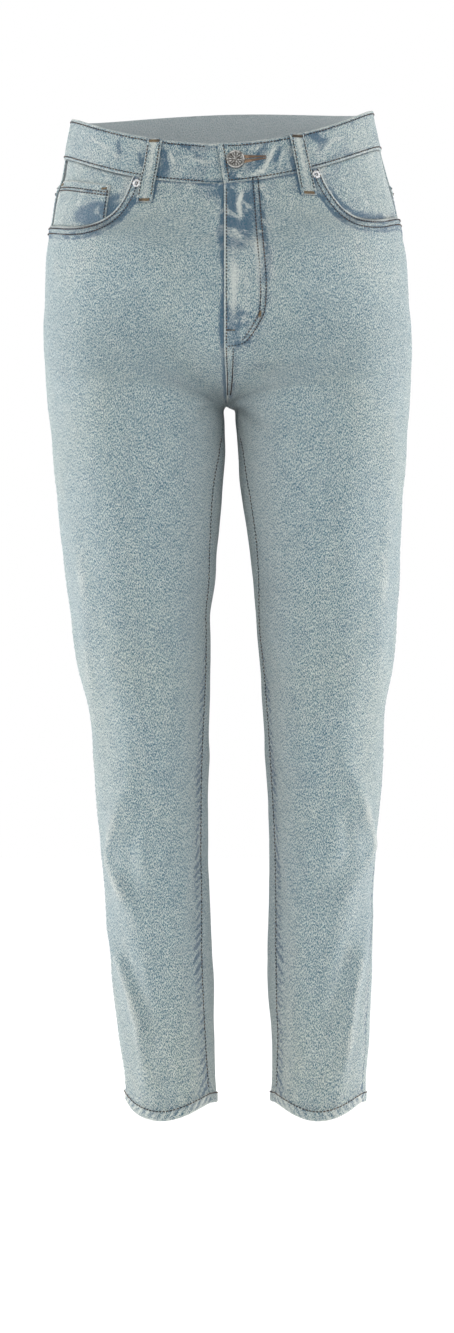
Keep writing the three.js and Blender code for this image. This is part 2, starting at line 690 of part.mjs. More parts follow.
function buttonholeCutter() {
  const shape = new THREE.Shape();
  const spread = Math.asin(EYE.half / EYE.radius);
  shape.absarc(0, 0, EYE.radius, spread, 2 * Math.PI - spread, false);
  shape.lineTo(EYE.slit, -EYE.half);
  shape.lineTo(EYE.slit, EYE.half);
  const cutter = new THREE.ExtrudeGeometry(shape, { depth: 4.4, bevelEnabled: false, curveSegments: 12 });
  cutter.translate(0, 0, -2.4);
  cutter.rotateZ(THREE.MathUtils.degToRad(EYE.tilt));
  return cutter;
}

const wasm = await Module();
wasm.setup();

function solid(geometry) {
  const plain = geometry.clone();
  plain.deleteAttribute('normal');
  plain.deleteAttribute('uv');
  const merged = mergeVertices(plain, 1e-4);
  return new wasm.Manifold(new wasm.Mesh({
    numProp: 3,
    vertProperties: merged.attributes.position.array,
    triVerts: new Uint32Array(merged.index.array),
  }));
}

function geometryOf(body) {
  const mesh = body.getMesh();
  const geometry = new THREE.BufferGeometry();
  geometry.setAttribute('position', new THREE.BufferAttribute(mesh.vertProperties, 3));
  geometry.setIndex(Array.from(mesh.triVerts));
  return geometry;
}

const DENIM = new THREE.MeshStandardMaterial({ color: 0x96a8ab, roughness: 0.92, metalness: 0 });
const METAL = new THREE.MeshStandardMaterial({ color: 0xa9a8a2, roughness: 0.35, metalness: 1 });

const jeans = new THREE.Group();
jeans.name = 'jeans';

function add(name, geometry, material = DENIM) {
  const mesh = new THREE.Mesh(geometry, material);
  mesh.name = name;
  jeans.add(mesh);
  return mesh;
}

for (const [side, word] of [[RIGHT, 'right'], [LEFT, 'left']]) {
  add(`front_${word}`, frontPanel(side));
  add(`back_${word}`, backPanel(side));
  add(`yoke_${word}`, yoke(side));
  add(`pocket_facing_${word}`, pocketFacing(side));
  add(`back_pocket_${word}`, backPocket(side));
  add(`belt_loop_front_${word}`, beltLoop(side, FRONT_LOOP[side].share, FRONT_LOOP[side].lean));
  add(`belt_loop_side_${word}`, beltLoop(side, SIDE_LOOP, 0));
  const rivetZ = waistSeam(side, RIVET[side]) - RIVET_DROP;
  mount(add(`rivet_${word}`, turned(RIVET_PROFILE, 16), METAL), side, RIVET[side], rivetZ, 0.3);
}
add('belt_loop_back', beltLoop(RIGHT, 1, 0));
add('coin_pocket', coinPocket());
add('fly_shield', flyShield());

const buttonZ = waistTop(LEFT, BUTTON_PLACE.share) - BUTTON_PLACE.drop;
const button = add('button', turned(BUTTON_PROFILE, 24), METAL);
mount(button, LEFT, BUTTON_PLACE.share, buttonZ, 0.6);
button.updateMatrixWorld();
const cutter = buttonholeCutter();
const eye = new THREE.Matrix4().makeBasis(
  new THREE.Vector3(1, 0, 0),
  new THREE.Vector3(0, 0, 1),
  new THREE.Vector3(0, -1, 0),
);
cutter.applyMatrix4(eye);
const buttonWay = outward(LEFT, BUTTON_PLACE.share, buttonZ);
cutter.rotateZ(Math.atan2(buttonWay.x, -buttonWay.y));
cutter.translate(...button.position.toArray());
add('waistband', geometryOf(solid(waistband()).subtract(solid(cutter))));

export default jeans;
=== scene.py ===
import math

import bpy
import numpy as np
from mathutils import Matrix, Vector


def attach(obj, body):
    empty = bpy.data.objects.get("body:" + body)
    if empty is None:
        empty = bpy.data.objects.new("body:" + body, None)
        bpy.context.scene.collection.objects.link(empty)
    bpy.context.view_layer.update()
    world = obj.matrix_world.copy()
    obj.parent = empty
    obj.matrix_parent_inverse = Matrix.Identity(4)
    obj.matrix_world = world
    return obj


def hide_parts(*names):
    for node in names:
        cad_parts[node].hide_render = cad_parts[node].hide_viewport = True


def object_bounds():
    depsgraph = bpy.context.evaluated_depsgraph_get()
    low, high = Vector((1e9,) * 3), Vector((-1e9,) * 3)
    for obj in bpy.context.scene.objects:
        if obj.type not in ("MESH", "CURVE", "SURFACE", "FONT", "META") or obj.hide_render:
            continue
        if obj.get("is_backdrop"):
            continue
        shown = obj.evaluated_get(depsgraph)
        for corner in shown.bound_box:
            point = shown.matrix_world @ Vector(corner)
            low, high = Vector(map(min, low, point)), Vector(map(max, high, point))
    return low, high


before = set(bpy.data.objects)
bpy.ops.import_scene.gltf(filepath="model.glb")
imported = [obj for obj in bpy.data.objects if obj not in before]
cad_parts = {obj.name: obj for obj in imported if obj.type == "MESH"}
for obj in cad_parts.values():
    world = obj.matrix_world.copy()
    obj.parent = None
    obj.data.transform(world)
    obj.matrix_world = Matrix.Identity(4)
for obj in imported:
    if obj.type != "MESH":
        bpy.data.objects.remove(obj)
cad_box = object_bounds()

# Straight five-pocket jeans in light-wash denim, filled out as worn.
# All sizes are in millimetres until a mesh is made, which turns them into metres.
# A place on the cloth is a side, a share of the way round it from the front to the back, and a height.
MM = 0.001
RIGHT, LEFT = -1, 1
WORD = {RIGHT: "Right", LEFT: "Left"}
CLOTH = 1.1
WAISTBAND_HEIGHT = 38.0
WAISTBAND_WALL = 2.4
WAISTBAND_PROUD = 0.6
HEM_Z = -914.0
CROTCH_Z = -254.0
CENTRE_TOP_Z = -55.0
POCKET_CORNER_V = -125.0
FRONT_CURVE = 85.0
BACK_CURVE = 120.0
SEAM_PULL = 0.06
STITCH_STEP = 0.8
COLUMN_STEP = 3.3
# Lengths of cloth round one side, where one even number serves for a whole area.
ROUND, FLY_ROUND, BACK_ROUND = 430, 420, 455
# How far strokes are moved from the centre line, where ridges fade.
CLEAR = 0.03


def table(names, *rows):
    return {name: np.array(values, float) for name, values in zip(names.split(), zip(*rows))}


# Outer silhouettes: height, then x of the wearer's right side and left side.
SILHOUETTE = table(
    "z right left",
    (36, -143, 141), (20, -144.4, 142), (-14, -150.6, 149.7), (-36.6, -153.9, 155.3), (-56, -160.3, 161),
    (-85, -165.1, 167.7), (-116, -169.1, 173.5), (-154, -170.1, 175.6), (-178, -171.7, 178),
    (-202, -171, 178.6), (-250, -167.9, 176.7), (-299, -162.5, 173.2), (-348, -158.1, 169.5),
    (-396, -152.8, 167.2), (-420, -149.6, 166.3), (-457, -145.5, 164.6), (-505, -138.1, 159.8),
    (-538, -129.6, 153.6), (-568, -124.5, 151.3), (-600, -123.1, 150.6), (-633, -121.1, 148.2),
    (-669, -117.4, 144.4), (-692, -115.5, 143.3), (-724, -113.2, 142.1), (-771, -108.8, 141.6),
    (-812, -105.2, 140), (-862, -98.8, 137.8), (-890, -94.5, 135.4), (-914, -92.8, 134.4),
)

# Inner silhouettes of the two legs, from the crotch down.
INNER = table(
    "z right left",
    (-254, 2.5, 2.5), (-255.2, 0.6, 8), (-259, -0.6, 10.9), (-275, 0.2, 12), (-299, 1.4, 13.3),
    (-324, -1, 14.9), (-348, -2.6, 18.1), (-372, -4.5, 21.7), (-396, -6.9, 24.7), (-420, -8.6, 28),
    (-457, -12.9, 30.2), (-505, -12.9, 34.6), (-538, -13.8, 36.6), (-568, -14.5, 38.5), (-633, -15, 41.8),
    (-669, -15.2, 43), (-724, -13.3, 42.7), (-771, -11.4, 41.3), (-812, -9.6, 42), (-862, -9, 45.6),
    (-890, -8.2, 45.6), (-914, -7.3, 45.1),
)

# Depths of the body of the jeans above the crotch, and how square its outline is.
HIP_DEPTH = table(
    "z front back square",
    (36, -92, 97, 2.1), (-16, -96, 101, 2.12), (-55, -102, 108, 2.18), (-100, -109, 119, 2.25),
    (-150, -112, 128, 2.3), (-200, -111, 129, 2.3), (-255, -105, 121, 2.3),
)

# Depths of a leg and how square its outline is.
LEG_DEPTH = table(
    "z front back square",
    (-254, -103, 113, 2.2), (-275, -100, 109, 2.2), (-300, -98, 105, 2.2), (-350, -93, 98, 2.15),
    (-400, -88, 93, 2.1), (-457, -83, 88, 2.1), (-537, -75, 80, 2.1), (-600, -70, 76, 2.1),
    (-669, -65, 74, 2.1), (-724, -61, 73, 2.1), (-771, -57, 72, 2.1), (-819, -53, 69, 2.1),
    (-862, -49, 65, 2.1), (-914, -45, 61, 2.1),
)

# How far round to the front each leg's inseam and side seam lie, in degrees.
INSEAM = table(
    "z right left",
    (-254, 0, 0), (-275, 12, 12), (-300, 24, 22), (-350, 29, 27), (-382, 27, 27), (-430, 23, 21),
    (-477, 21, 17.5), (-548, 25, 22), (-600, 28.5, 23), (-700, 31, 28), (-800, 38, 33), (-862, 35, 28),
    (-914, 32, 24),
)
OUTSEAM = table(
    "z right left",
    (-254, 0, 0), (-350, 2, 3), (-600, 4, 8), (-669, 5, 12), (-724, 5, 16), (-800, 5, 22), (-862, 5, 26),
    (-914, 5, 27),
)

# Length of cloth round one side, from inseam or centre front to inseam or centre back.
GIRTH = table(
    "z round", (20, 378), (-100, 440), (-200, 468), (-260, 560), (-400, 500), (-600, 405), (-914, 302),
)

# Folds and fullness: side, height out of the cloth, half-width, and a path of share round and height.
FOLDS = [
    (RIGHT, 3, 16, [(0.377, -348), (0.371, -418), (0.372, -465), (0.408, -535), (0.454, -583)]),
    (RIGHT, 5, 11, [(0.286, -614), (0.357, -650), (0.393, -674), (0.399, -686), (0.338, -718), (0.3, -732)]),
    (RIGHT, -3, 12, [(0.22, -630), (0.3, -672), (0.3, -700), (0.25, -722)]),
    (RIGHT, 4.5, 11, [(0.465, -751), (0.382, -780), (0.338, -808), (0.309, -838), (0.318, -893)]),
    (RIGHT, -3, 12, [(0.36, -760), (0.28, -810), (0.25, -860)]),
    (RIGHT, -4, 7, [(0.027, -251), (0.083, -256), (0.118, -265)]),
    (RIGHT, -2, 9, [(0.211, -224), (0.149, -232), (0.044, -238)]),
    (LEFT, 3, 18, [(0.38, -253), (0.375, -327), (0.374, -402), (0.375, -477), (0.398, -552)]),
    (LEFT, 5, 11, [(0.292, -598), (0.357, -626), (0.404, -650), (0.445, -670), (0.418, -686), (0.318, -718)]),
    (LEFT, -3, 12, [(0.22, -615), (0.3, -645), (0.32, -680), (0.25, -710)]),
    (LEFT, 4.5, 11, [(0.454, -741), (0.404, -780), (0.381, -815), (0.367, -862), (0.359, -892)]),
    (LEFT, -3, 12, [(0.36, -745), (0.31, -800), (0.28, -860)]),
    (LEFT, -4, 7, [(0.031, -256), (0.07, -269), (0.106, -277)]),
    (LEFT, -2, 9, [(0.049, -228), (0.184, -222), (0.249, -220)]),
    *[(side, 5, 62, [(0.8, -150), (0.79, -190), (0.78, -225)]) for side in (RIGHT, LEFT)],
    *[(side, 4, 15, [(0.95, -262), (0.82, -280), (0.66, -268)]) for side in (RIGHT, LEFT)],
    (RIGHT, 4, 15, [(0.62, -560), (0.76, -600), (0.9, -585)]),
    (LEFT, 4, 15, [(0.62, -570), (0.76, -605), (0.9, -580)]),
    (RIGHT, 4, 15, [(0.6, -660), (0.74, -690), (0.88, -670)]),
    (LEFT, 4, 15, [(0.6, -650), (0.74, -685), (0.88, -675)]),
]

FRONT_LINES = table(
    "z side",
    (-125, -84), (-150, -101), (-175, -118), (-199, -135), (-219, -152), (-234, -170), (-247, -190),
    (-252, -208), (-254, -226), (-259, -242), (-265, -258), (-275, -275), (-914, -914),
)
BACK_LINES = table(
    "z side",
    (-70, -54), (-92, -69), (-115, -84), (-140, -101), (-165, -118), (-190, -135), (-213, -152), (-230, -170),
    (-245, -190), (-251.5, -208), (-254, -226), (-259, -242), (-265, -258), (-275, -275), (-914, -914),
)

# Front pocket mouths, from the side seam up to the waist seam.
MOUTH = table(
    "t right rightDrop left leftDrop",
    (0, 0.5, 63.5, 0.5, 64), (0.082, 0.475, 63.5, 0.47, 64), (0.2, 0.415, 62.8, 0.41, 64),
    (0.347, 0.338, 60.5, 0.342, 63.4), (0.493, 0.283, 56.1, 0.292, 60.1), (0.618, 0.241, 48.8, 0.253, 54),
    (0.715, 0.212, 39.3, 0.226, 44), (0.806, 0.193, 27, 0.208, 31), (0.895, 0.182, 13.6, 0.195, 17),
    (1, 0.176, 0, 0.187, 0),
)

# The curved stitch line of the fly, on the wearer's left: height and share round.
FLY = table(
    "z share",
    (-40, 0.062), (-57, 0.063), (-108, 0.0664), (-160, 0.0721), (-174, 0.0703), (-185, 0.0608),
    (-195, 0.0493), (-202, 0.0363), (-204.4, 0.0183), (-205.5, 0.0),
)


def lerp(a, b, t):
    return a + (b - a) * t


def bell(at, middle, wide):
    """1 at the middle, falling softly to nothing a few widths away."""
    return np.exp(-(((at - middle) / wide) ** 2))


def smooth(low, high, v):
    t = np.clip((v - low) / (high - low), 0, 1)
    return t * t * (3 - 2 * t)


def read(tab, column, at, key="z"):
    """Reads one column of a table smoothly, without overshoot."""
    x, y = tab[key], tab[column]
    if x[0] > x[-1]:
        x, y = x[::-1], y[::-1]
    at = np.clip(at, x[0], x[-1])
    i = np.clip(np.searchsorted(x, at, side="right") - 1, 0, len(x) - 2)
    slope = np.diff(y) / np.diff(x)
    before, after = slope[:-1], slope[1:]
    same = before * after > 0
    inner = np.where(same, 2 * before * after / np.where(same, before + after, 1), 0)
    tangent = np.concatenate([slope[:1], inner, slope[-1:]])
    span = x[i + 1] - x[i]
    t = (at - x[i]) / span
    return (
        (1 + 2 * t) * (1 - t) ** 2 * y[i]
        + t * (1 - t) ** 2 * span * tangent[i]
        + t * t * (3 - 2 * t) * y[i + 1]
        + t * t * (t - 1) * span * tangent[i + 1]
    )


def column(side):
    return "right" if side < 0 else "left"


def centre_x(z):
    return 2.5 * smooth(-200, CROTCH_Z, z)


def outline(angle, a, b, square):
    c, q = np.cos(angle), np.sin(angle)
    k = (np.abs(c) ** square + np.abs(q) ** square) ** (-1 / square)
    return a * c * k, b * q * k


def leg_section(side, share, z):
    low = np.minimum(z, CROTCH_Z)
    outer = read(SILHOUETTE, column(side), z)
    inner = np.where(z > CROTCH_Z, centre_x(z), read(INNER, column(side), z))
    front, back = read(LEG_DEPTH, "front", low), read(LEG_DEPTH, "back", low)
    start = np.radians(read(INSEAM, column(side), low))
    half = np.pi - np.radians(read(OUTSEAM, column(side), low))
    to_side, to_seam = lerp(start, half, share / 0.5), lerp(half, 2 * np.pi + start, share / 0.5 - 1)
    angle = np.where(share < 0.5, to_side, to_seam)
    centre = (outer + inner) / 2, (front + back) / 2
    dx, dy = outline(angle, (outer - inner) / 2, (back - front) / 2, read(LEG_DEPTH, "square", low))
    return centre[0] - dx, centre[1] - dy, centre


def hip_section(side, share, z):
    middle = centre_x(z)
    front, back = read(HIP_DEPTH, "front", z), read(HIP_DEPTH, "back", z)
    half = read(SILHOUETTE, column(side), z) - middle
    centre = middle, (front + back) / 2
    dy, dx = outline(np.pi * share, (back - front) / 2, half, read(HIP_DEPTH, "square", z))
    return middle + dx, centre[1] - dy, centre


def hip_part(share, z):
    up = z - CROTCH_Z
    reach = lerp(FRONT_CURVE, BACK_CURVE, smooth(0.3, 0.7, share))
    quick = np.sqrt(1 - (1 - np.clip(up / reach, 0, 1)) ** 2)
    slow = smooth(0, 130, up)
    near = np.where((share < 0.25) | (share > 0.75), np.cos(2 * np.pi * share) ** 2, 0)
    return np.where(up <= 0, 0, lerp(slow, quick, near))


def ridge(side, share, z, folds, ends=0.35):
    """Height of a list of folds of one side at places on it."""
    round_ = read(GIRTH, "round", z)
    total = np.zeros(np.shape(share))
    for fold_side, rise, wide, path in folds:
        if fold_side != side:
            continue
        heights = [p[1] for p in path]
        near = (z < max(heights) + 3 * wide) & (z > min(heights) - 3 * wide)
        if not near.any():
            continue
        s, h, r = share[near], z[near], round_[near]
        nearest = np.full(s.shape, np.inf)
        where = np.zeros(s.shape)
        for i, ((s0, z0), (s1, z1)) in enumerate(zip(path, path[1:])):
            ax, az = (s - s0) * r, h - z0
            bx, bz = (s1 - s0) * r, z1 - z0
            t = np.clip((ax * bx + az * bz) / (bx * bx + bz * bz), 0, 1)
            away = np.hypot(ax - t * bx, az - t * bz)
            closer = away < nearest
            nearest = np.where(closer, away, nearest)
            where = np.where(closer, (i + t) / (len(path) - 1), where)
        fade = smooth(0, 0.3, where) * smooth(0, 0.3, 1 - where)
        total[near] += rise * lerp(ends, 1, fade) * bell(nearest, 0, wide)
    return total * smooth(0, 0.03, np.minimum(share, 1 - share))


def skin(side, share, z):
    """The outer skin of the jeans. A share below 0 or above 1 runs on over the centre line or the inseam."""
    share, z = np.broadcast_arrays(np.asarray(share, float), np.asarray(z, float))
    over = (share < 0) | (share > 1)
    if over.any():
        found = np.empty(share.shape + (3,))
        found[~over] = skin(side, share[~over], z[~over])
        cross = over & (z > CROTCH_Z)
        found[cross] = skin(-side, np.where(share < 0, -share, 2 - share)[cross], z[cross])
        wrap = over & (z <= CROTCH_Z)
        found[wrap] = skin(side, np.where(share < 0, share + 1, share - 1)[wrap], z[wrap])
        return found
    part = hip_part(share, z)
    soften = 0.07 * part
    from_seam = np.minimum(share, 1 - share)
    eased = 0.5 * (np.hypot(from_seam, soften) - soften) / (np.hypot(0.5, soften) - soften)
    lx, ly, leg_centre = leg_section(side, np.where(share < 0.5, eased, 1 - eased), z)
    hx, hy, hip_centre = hip_section(side, share, z)
    x, y = lerp(lx, hx, part), lerp(ly, hy, part)
    out_x = x - lerp(leg_centre[0], hip_centre[0], part)
    out_y = y - lerp(leg_centre[1], hip_centre[1], part)
    length = np.hypot(out_x, out_y)
    out_x = np.where(z > CROTCH_Z, out_x * smooth(0, 0.04, from_seam), out_x)
    rise = ridge(side, share, z, FOLDS) / length
    return np.stack([x + out_x * rise, y + out_y * rise, z], axis=-1)


def outward(side, share, z):
    """Direction straight out of the cloth."""
    share, z = np.broadcast_arrays(np.asarray(share, float), np.asarray(z, float))
    across = skin(side, share + 0.004, z) - skin(side, share - 0.004, z)
    up = skin(side, share, z + 1) - skin(side, share, z - 1)
    normal = np.cross(across, up) * side
    normal /= np.maximum(np.linalg.norm(normal, axis=-1, keepdims=True), 1e-9)
    at_crotch = ((share < 0.0005) | (share > 0.9995)) & (np.abs(z - CROTCH_Z) < 0.6)
    normal[at_crotch] = (0, 0, -1)
    return normal


def waist_top(side, share):
    front = -17 + 38.6 * (1 - np.cos(2 * np.pi * share)) / 2
    back = 21.6 + 14.4 * (1 - np.cos(2 * np.pi * (share - 0.5))) / 2
    return np.where(share < 0.5, front, back) + 0.028 * 143 * side * np.sin(np.pi * np.clip(share, 0, 1))


def band_height(side, share):
    slimmer = np.where(share < 0.5, 3.3 * np.sin(2 * np.pi * share), 0) if side == LEFT else 0 * share
    return WAISTBAND_HEIGHT - slimmer


def waist_seam(side, share):
    return waist_top(side, share) - band_height(side, share)


def yoke_seam(share):
    return lerp(-54, -70, (share - 0.5) / 0.5)


def hem_dip(share, v):
    low = np.clip((-760 - v) / 154, 0, 1) ** 2
    return low * np.where(share < 0.5, 14.7, 8) * np.abs(np.sin(2 * np.pi * share)) ** 1.5


def mouth_place(side, t):
    share = read(MOUTH, column(side), t, "t")
    return share, waist_seam(side, share) - read(MOUTH, column(side) + "Drop", t, "t")


def front_place(side, v, a):
    t = np.clip((v - POCKET_CORNER_V) / (CENTRE_TOP_Z - POCKET_CORNER_V), 0, 1)
    low_share = 0.5 * a
    low_z = lerp(v, read(FRONT_LINES, "side", v), a) - hem_dip(low_share, v)
    edge, edge_z = mouth_place(side, t)
    corner = read(FRONT_LINES, "side", POCKET_CORNER_V)
    outer_z = lerp(corner, edge_z, smooth(0, 0.2, t))
    share = a * edge
    top_line = waist_seam(side, share) - lerp(CENTRE_TOP_Z, waist_seam(side, edge), a)
    high_z = lerp(v, outer_z, a) + top_line * t * t
    return np.where(t == 0, low_share, share), np.where(t == 0, low_z, high_z)


def back_place(side, v, a):
    share = 1 - 0.5 * a
    return share, lerp(v, read(BACK_LINES, "side", v), a) - hem_dip(share, v)


def yoke_place(side, up, a):
    share = 1 - 0.5 * a
    return share, lerp(yoke_seam(share), waist_seam(side, share), up)


def wobble(u, v, seed, size):
    """A smooth made-up unevenness between -1 and 1, the same on every run."""
    rng = np.random.default_rng(seed)
    total = np.zeros(np.shape(u))
    for _ in range(7):
        turn = rng.uniform(0, 2 * np.pi)
        wave = rng.uniform(0.6, 1.7) * 2 * np.pi / size
        total += np.sin((u * math.cos(turn) + v * math.sin(turn)) * wave + rng.uniform(0, 2 * np.pi))
    return np.clip(total / 3.2, -1, 1)


def along_lines(points):
    """Running length along each row of a grid of points."""
    step = np.linalg.norm(np.diff(points, axis=1), axis=2)
    return np.concatenate([np.zeros((len(points), 1)), np.cumsum(step, axis=1)], axis=1)


def away_from(points, line, most=16.0):
    """Distance of each point from a polyline, found out to a limit."""
    flat = points.reshape(-1, 3)
    found = np.full(len(flat), most)
    low, high = line.min(axis=0) - most, line.max(axis=0) + most
    near = np.where(((flat > low) & (flat < high)).all(axis=1))[0]
    start, way = line[:-1], np.diff(line, axis=0)
    size = np.maximum((way ** 2).sum(axis=1), 1e-9)
    for begin in range(0, len(near), 4000):
        rows = near[begin:begin + 4000]
        reach = flat[rows][:, None, :] - start[None]
        t = np.clip((reach * way[None]).sum(axis=2) / size[None], 0, 1)
        gap = np.linalg.norm(reach - t[..., None] * way[None], axis=2).min(axis=1)
        found[rows] = np.minimum(gap, most)
    return found.reshape(points.shape[:-1])


EDGE_STEPS = [0, 0.4, 1.0, 1.8, 3.0, 4.6, 6.4, 8.2, 9.2, 9.8, 10.6, 12.2, 14.6]
PLAIN_EDGE = [0, 0.4, 1.0, 1.8, 3.2]


def panel_grid(place, side, lines, edge, widest):
    """Shares and heights of a panel whose columns keep fixed distances from its two long edges."""
    edge = np.array(edge)
    middle = int(round((widest - 2 * edge[-1]) / COLUMN_STEP))
    count = 2 * len(edge) + middle - 1
    fine = np.linspace(0, 1, 160)
    v_fine, a_fine = np.meshgrid(lines, fine, indexing="ij")
    a = np.empty((len(lines), count))
    for i, line in enumerate(along_lines(skin(side, *place(side, v_fine, a_fine)))):
        near = edge * min(1, line[-1] * 0.28 / edge[-1])
        between = near[-1] + (line[-1] - 2 * near[-1]) * np.arange(1, middle) / middle
        a[i] = np.interp(np.concatenate([near, between, (line[-1] - near)[::-1]]), line, fine)
    a[:, 0], a[:, -1] = 0, 1
    return place(side, np.repeat(lines[:, None], count, axis=1), a)


def pull_edges(points, pull):
    """Moves the points of all four edges a little inwards."""
    moved = points.copy()
    for grid, result in ((points, moved), (points.swapaxes(0, 1), moved.swapaxes(0, 1))):
        for there, here in ((1, 0), (-2, -1)):
            way = grid[there] - grid[here]
            result[here] += way * (pull / np.maximum(np.linalg.norm(way, axis=1, keepdims=True), 1e-6))
    return moved


def make_mesh(name, points, faces, material, uvs=None, masks=None):
    """A mesh object from points in millimetres and an array of quads or triangles."""
    mesh = bpy.data.meshes.new(name)
    size = faces.shape[1]
    mesh.vertices.add(len(points))
    mesh.vertices.foreach_set("co", (points * MM).astype(np.float32).ravel())
    mesh.loops.add(faces.size)
    mesh.loops.foreach_set("vertex_index", faces.astype(np.int32).ravel())
    mesh.polygons.add(len(faces))
    mesh.polygons.foreach_set("loop_start", np.arange(0, faces.size, size, dtype=np.int32))
    mesh.polygons.foreach_set("use_smooth", np.ones(len(faces), dtype=bool))
    mesh.update(calc_edges=True)
    if uvs is not None:
        layer = mesh.uv_layers.new(name="Cloth")
        layer.data.foreach_set("uv", (uvs[faces.ravel()] * MM).astype(np.float32).ravel())
    for key, values in (masks or {}).items():
        layer = mesh.attributes.new(key, "FLOAT", "POINT")
        layer.data.foreach_set("value", values.astype(np.float32).ravel())
    mesh.materials.append(material)
    obj = bpy.data.objects.new(name, mesh)
    bpy.context.scene.collection.objects.link(obj)
    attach(obj, "root")
    return obj


def grid_faces(rows, columns, turn):
    i, j = np.meshgrid(np.arange(rows - 1), np.arange(columns - 1), indexing="ij")
    a = (i * columns + j).ravel()
    quads = np.stack([a, a + 1, a + columns + 1, a + columns], axis=1)
    return quads[:, ::-1] if turn else quads


def cloth(name, outer, inner, looks):
    """A closed thin piece of cloth between two grids of points."""
    rows, columns = outer.shape[:2]
    count = rows * columns
    points = np.concatenate([outer.reshape(-1, 3), inner.reshape(-1, 3)])
    mid = rows // 2, columns // 2
    across = outer[mid[0], mid[1] + 1] - outer[mid]
    up = outer[mid[0] + 1, mid[1]] - outer[mid]
    flip = np.dot(np.cross(across, up), outer[mid] - inner[mid]) < 0
    rim = np.concatenate([
        np.arange(columns), np.arange(1, rows) * columns + columns - 1,
        (rows - 1) * columns + np.arange(columns - 2, -1, -1), np.arange(rows - 2, 0, -1) * columns,
    ])
    following = np.roll(rim, -1)
    wall = np.stack([rim, rim + count, following + count, following], axis=1)
    faces = np.concatenate([
        grid_faces(rows, columns, flip), grid_faces(rows, columns, not flip) + count,
        wall[:, ::-1] if flip else wall,
    ])
    u = along_lines(outer)
    u = u - u[:, columns // 2:columns // 2 + 1]
    v = along_lines(np.swapaxes(outer, 0, 1)).T
    v = v - v[-1:, :] + outer[-1, columns // 2, 2]
    uvs = np.stack([u.ravel(), v.ravel()], axis=1)
    masks = {}
    for key in ("pale", "deep", "wash", "ochre", "inside"):
        front = np.broadcast_to(looks.get(key, 0.0), (rows, columns)).ravel()
        masks[key] = np.concatenate([front, np.full(count, float(key == "inside"))])
    return make_mesh(name, points, faces, DENIM, np.concatenate([uvs, uvs]), masks)


class Nodes:
    """The nodes of one material. An input given as a socket is linked, and any other is set."""

    def __init__(self, name, settings):
        self.material = bpy.data.materials.new(name)
        self.material.use_nodes = True
        self.tree = self.material.node_tree
        self.tree.nodes.clear()
        output = self.tree.nodes.new("ShaderNodeOutputMaterial")
        self.shader = self.new("BsdfPrincipled", settings)
        self.put(output, {"Surface": self.shader.outputs["BSDF"]})

    def put(self, node, inputs):
        for key, value in inputs.items():
            if isinstance(value, bpy.types.NodeSocket):
                self.tree.links.new(value, node.inputs[key])
            else:
                node.inputs[key].default_value = value

    def new(self, kind, inputs=None, **properties):
        node = self.tree.nodes.new("ShaderNode" + kind)
        for key, value in properties.items():
            setattr(node, key, value)
        self.put(node, inputs or {})
        return node

    def mask(self, name):
        return self.new("Attribute", attribute_name=name).outputs["Fac"]

    def add(self, *values):
        total = values[0]
        for value in values[1:]:
            total = self.new("Math", {0: total, 1: value}, operation="ADD").outputs[0]
        return total

    def times(self, a, b):
        return self.new("Math", {0: a, 1: b}, operation="MULTIPLY").outputs[0]

    def mix(self, factor, a, b):
        return self.new("Mix", {0: factor, 6: a, 7: b}, data_type="RGBA", clamp_factor=True).outputs[2]

    def noise(self, source, scale, detail=2.0, rough=0.5):
        inputs = {"Vector": source, "Scale": scale, "Detail": detail, "Roughness": rough}
        return self.new("TexNoise", inputs).outputs["Fac"]

    def turned(self, source, degrees, scale=(1, 1)):
        inputs = {"Vector": source, "Rotation": (0, 0, math.radians(degrees)), "Scale": (*scale, 1)}
        return self.new("Mapping", inputs).outputs["Vector"]

    def curve(self, value, low, high, out_low=0.0, out_high=1.0):
        """A smooth step from one value to another."""
        if low > high:
            low, high, out_low, out_high = high, low, out_high, out_low
        inputs = {"Value": value, "From Min": low, "From Max": high, "To Min": out_low, "To Max": out_high}
        return self.new("MapRange", inputs, clamp=True, interpolation_type="SMOOTHSTEP").outputs["Result"]

    def bump(self, height, strength, distance):
        node = self.new("Bump", {"Height": height, "Strength": strength, "Distance": distance})
        self.put(self.shader, {"Normal": node.outputs["Normal"]})


def srgb(r, g, b):
    def one(v):
        v /= 255
        return v / 12.92 if v <= 0.04045 else ((v + 0.055) / 1.055) ** 2.4
    return one(r), one(g), one(b), 1.0


BASE, PALE, DARK = srgb(132, 164, 171), srgb(207, 213, 207), srgb(66, 102, 120)
INDIGO, TINT, OCHRE = srgb(0, 66, 102), srgb(148, 169, 162), srgb(180, 182, 146)
COOL, INSIDE, SHADOW = srgb(112, 148, 163), srgb(200, 207, 209), srgb(40, 38, 38)

# The grain of the twill: both diagonals, upright slubs, fine yarn ends and broader streaks.
# Features for each metre across and along, degrees turned, detail, roughness, low end of the step, strength.
GRAIN = [
    (1700, 560, -40, 1, 0.5, 0.36, 2.1), (1650, 760, 38, 1, 0.5, 0.36, 0.8),
    (1400, 280, 0, 1, 0.5, 0.36, 0.8), (1500, 1500, 0, 1, 0.5, 0.34, 1.2), (170, 70, 0, 3, 0.6, 0.34, 0.3),
]


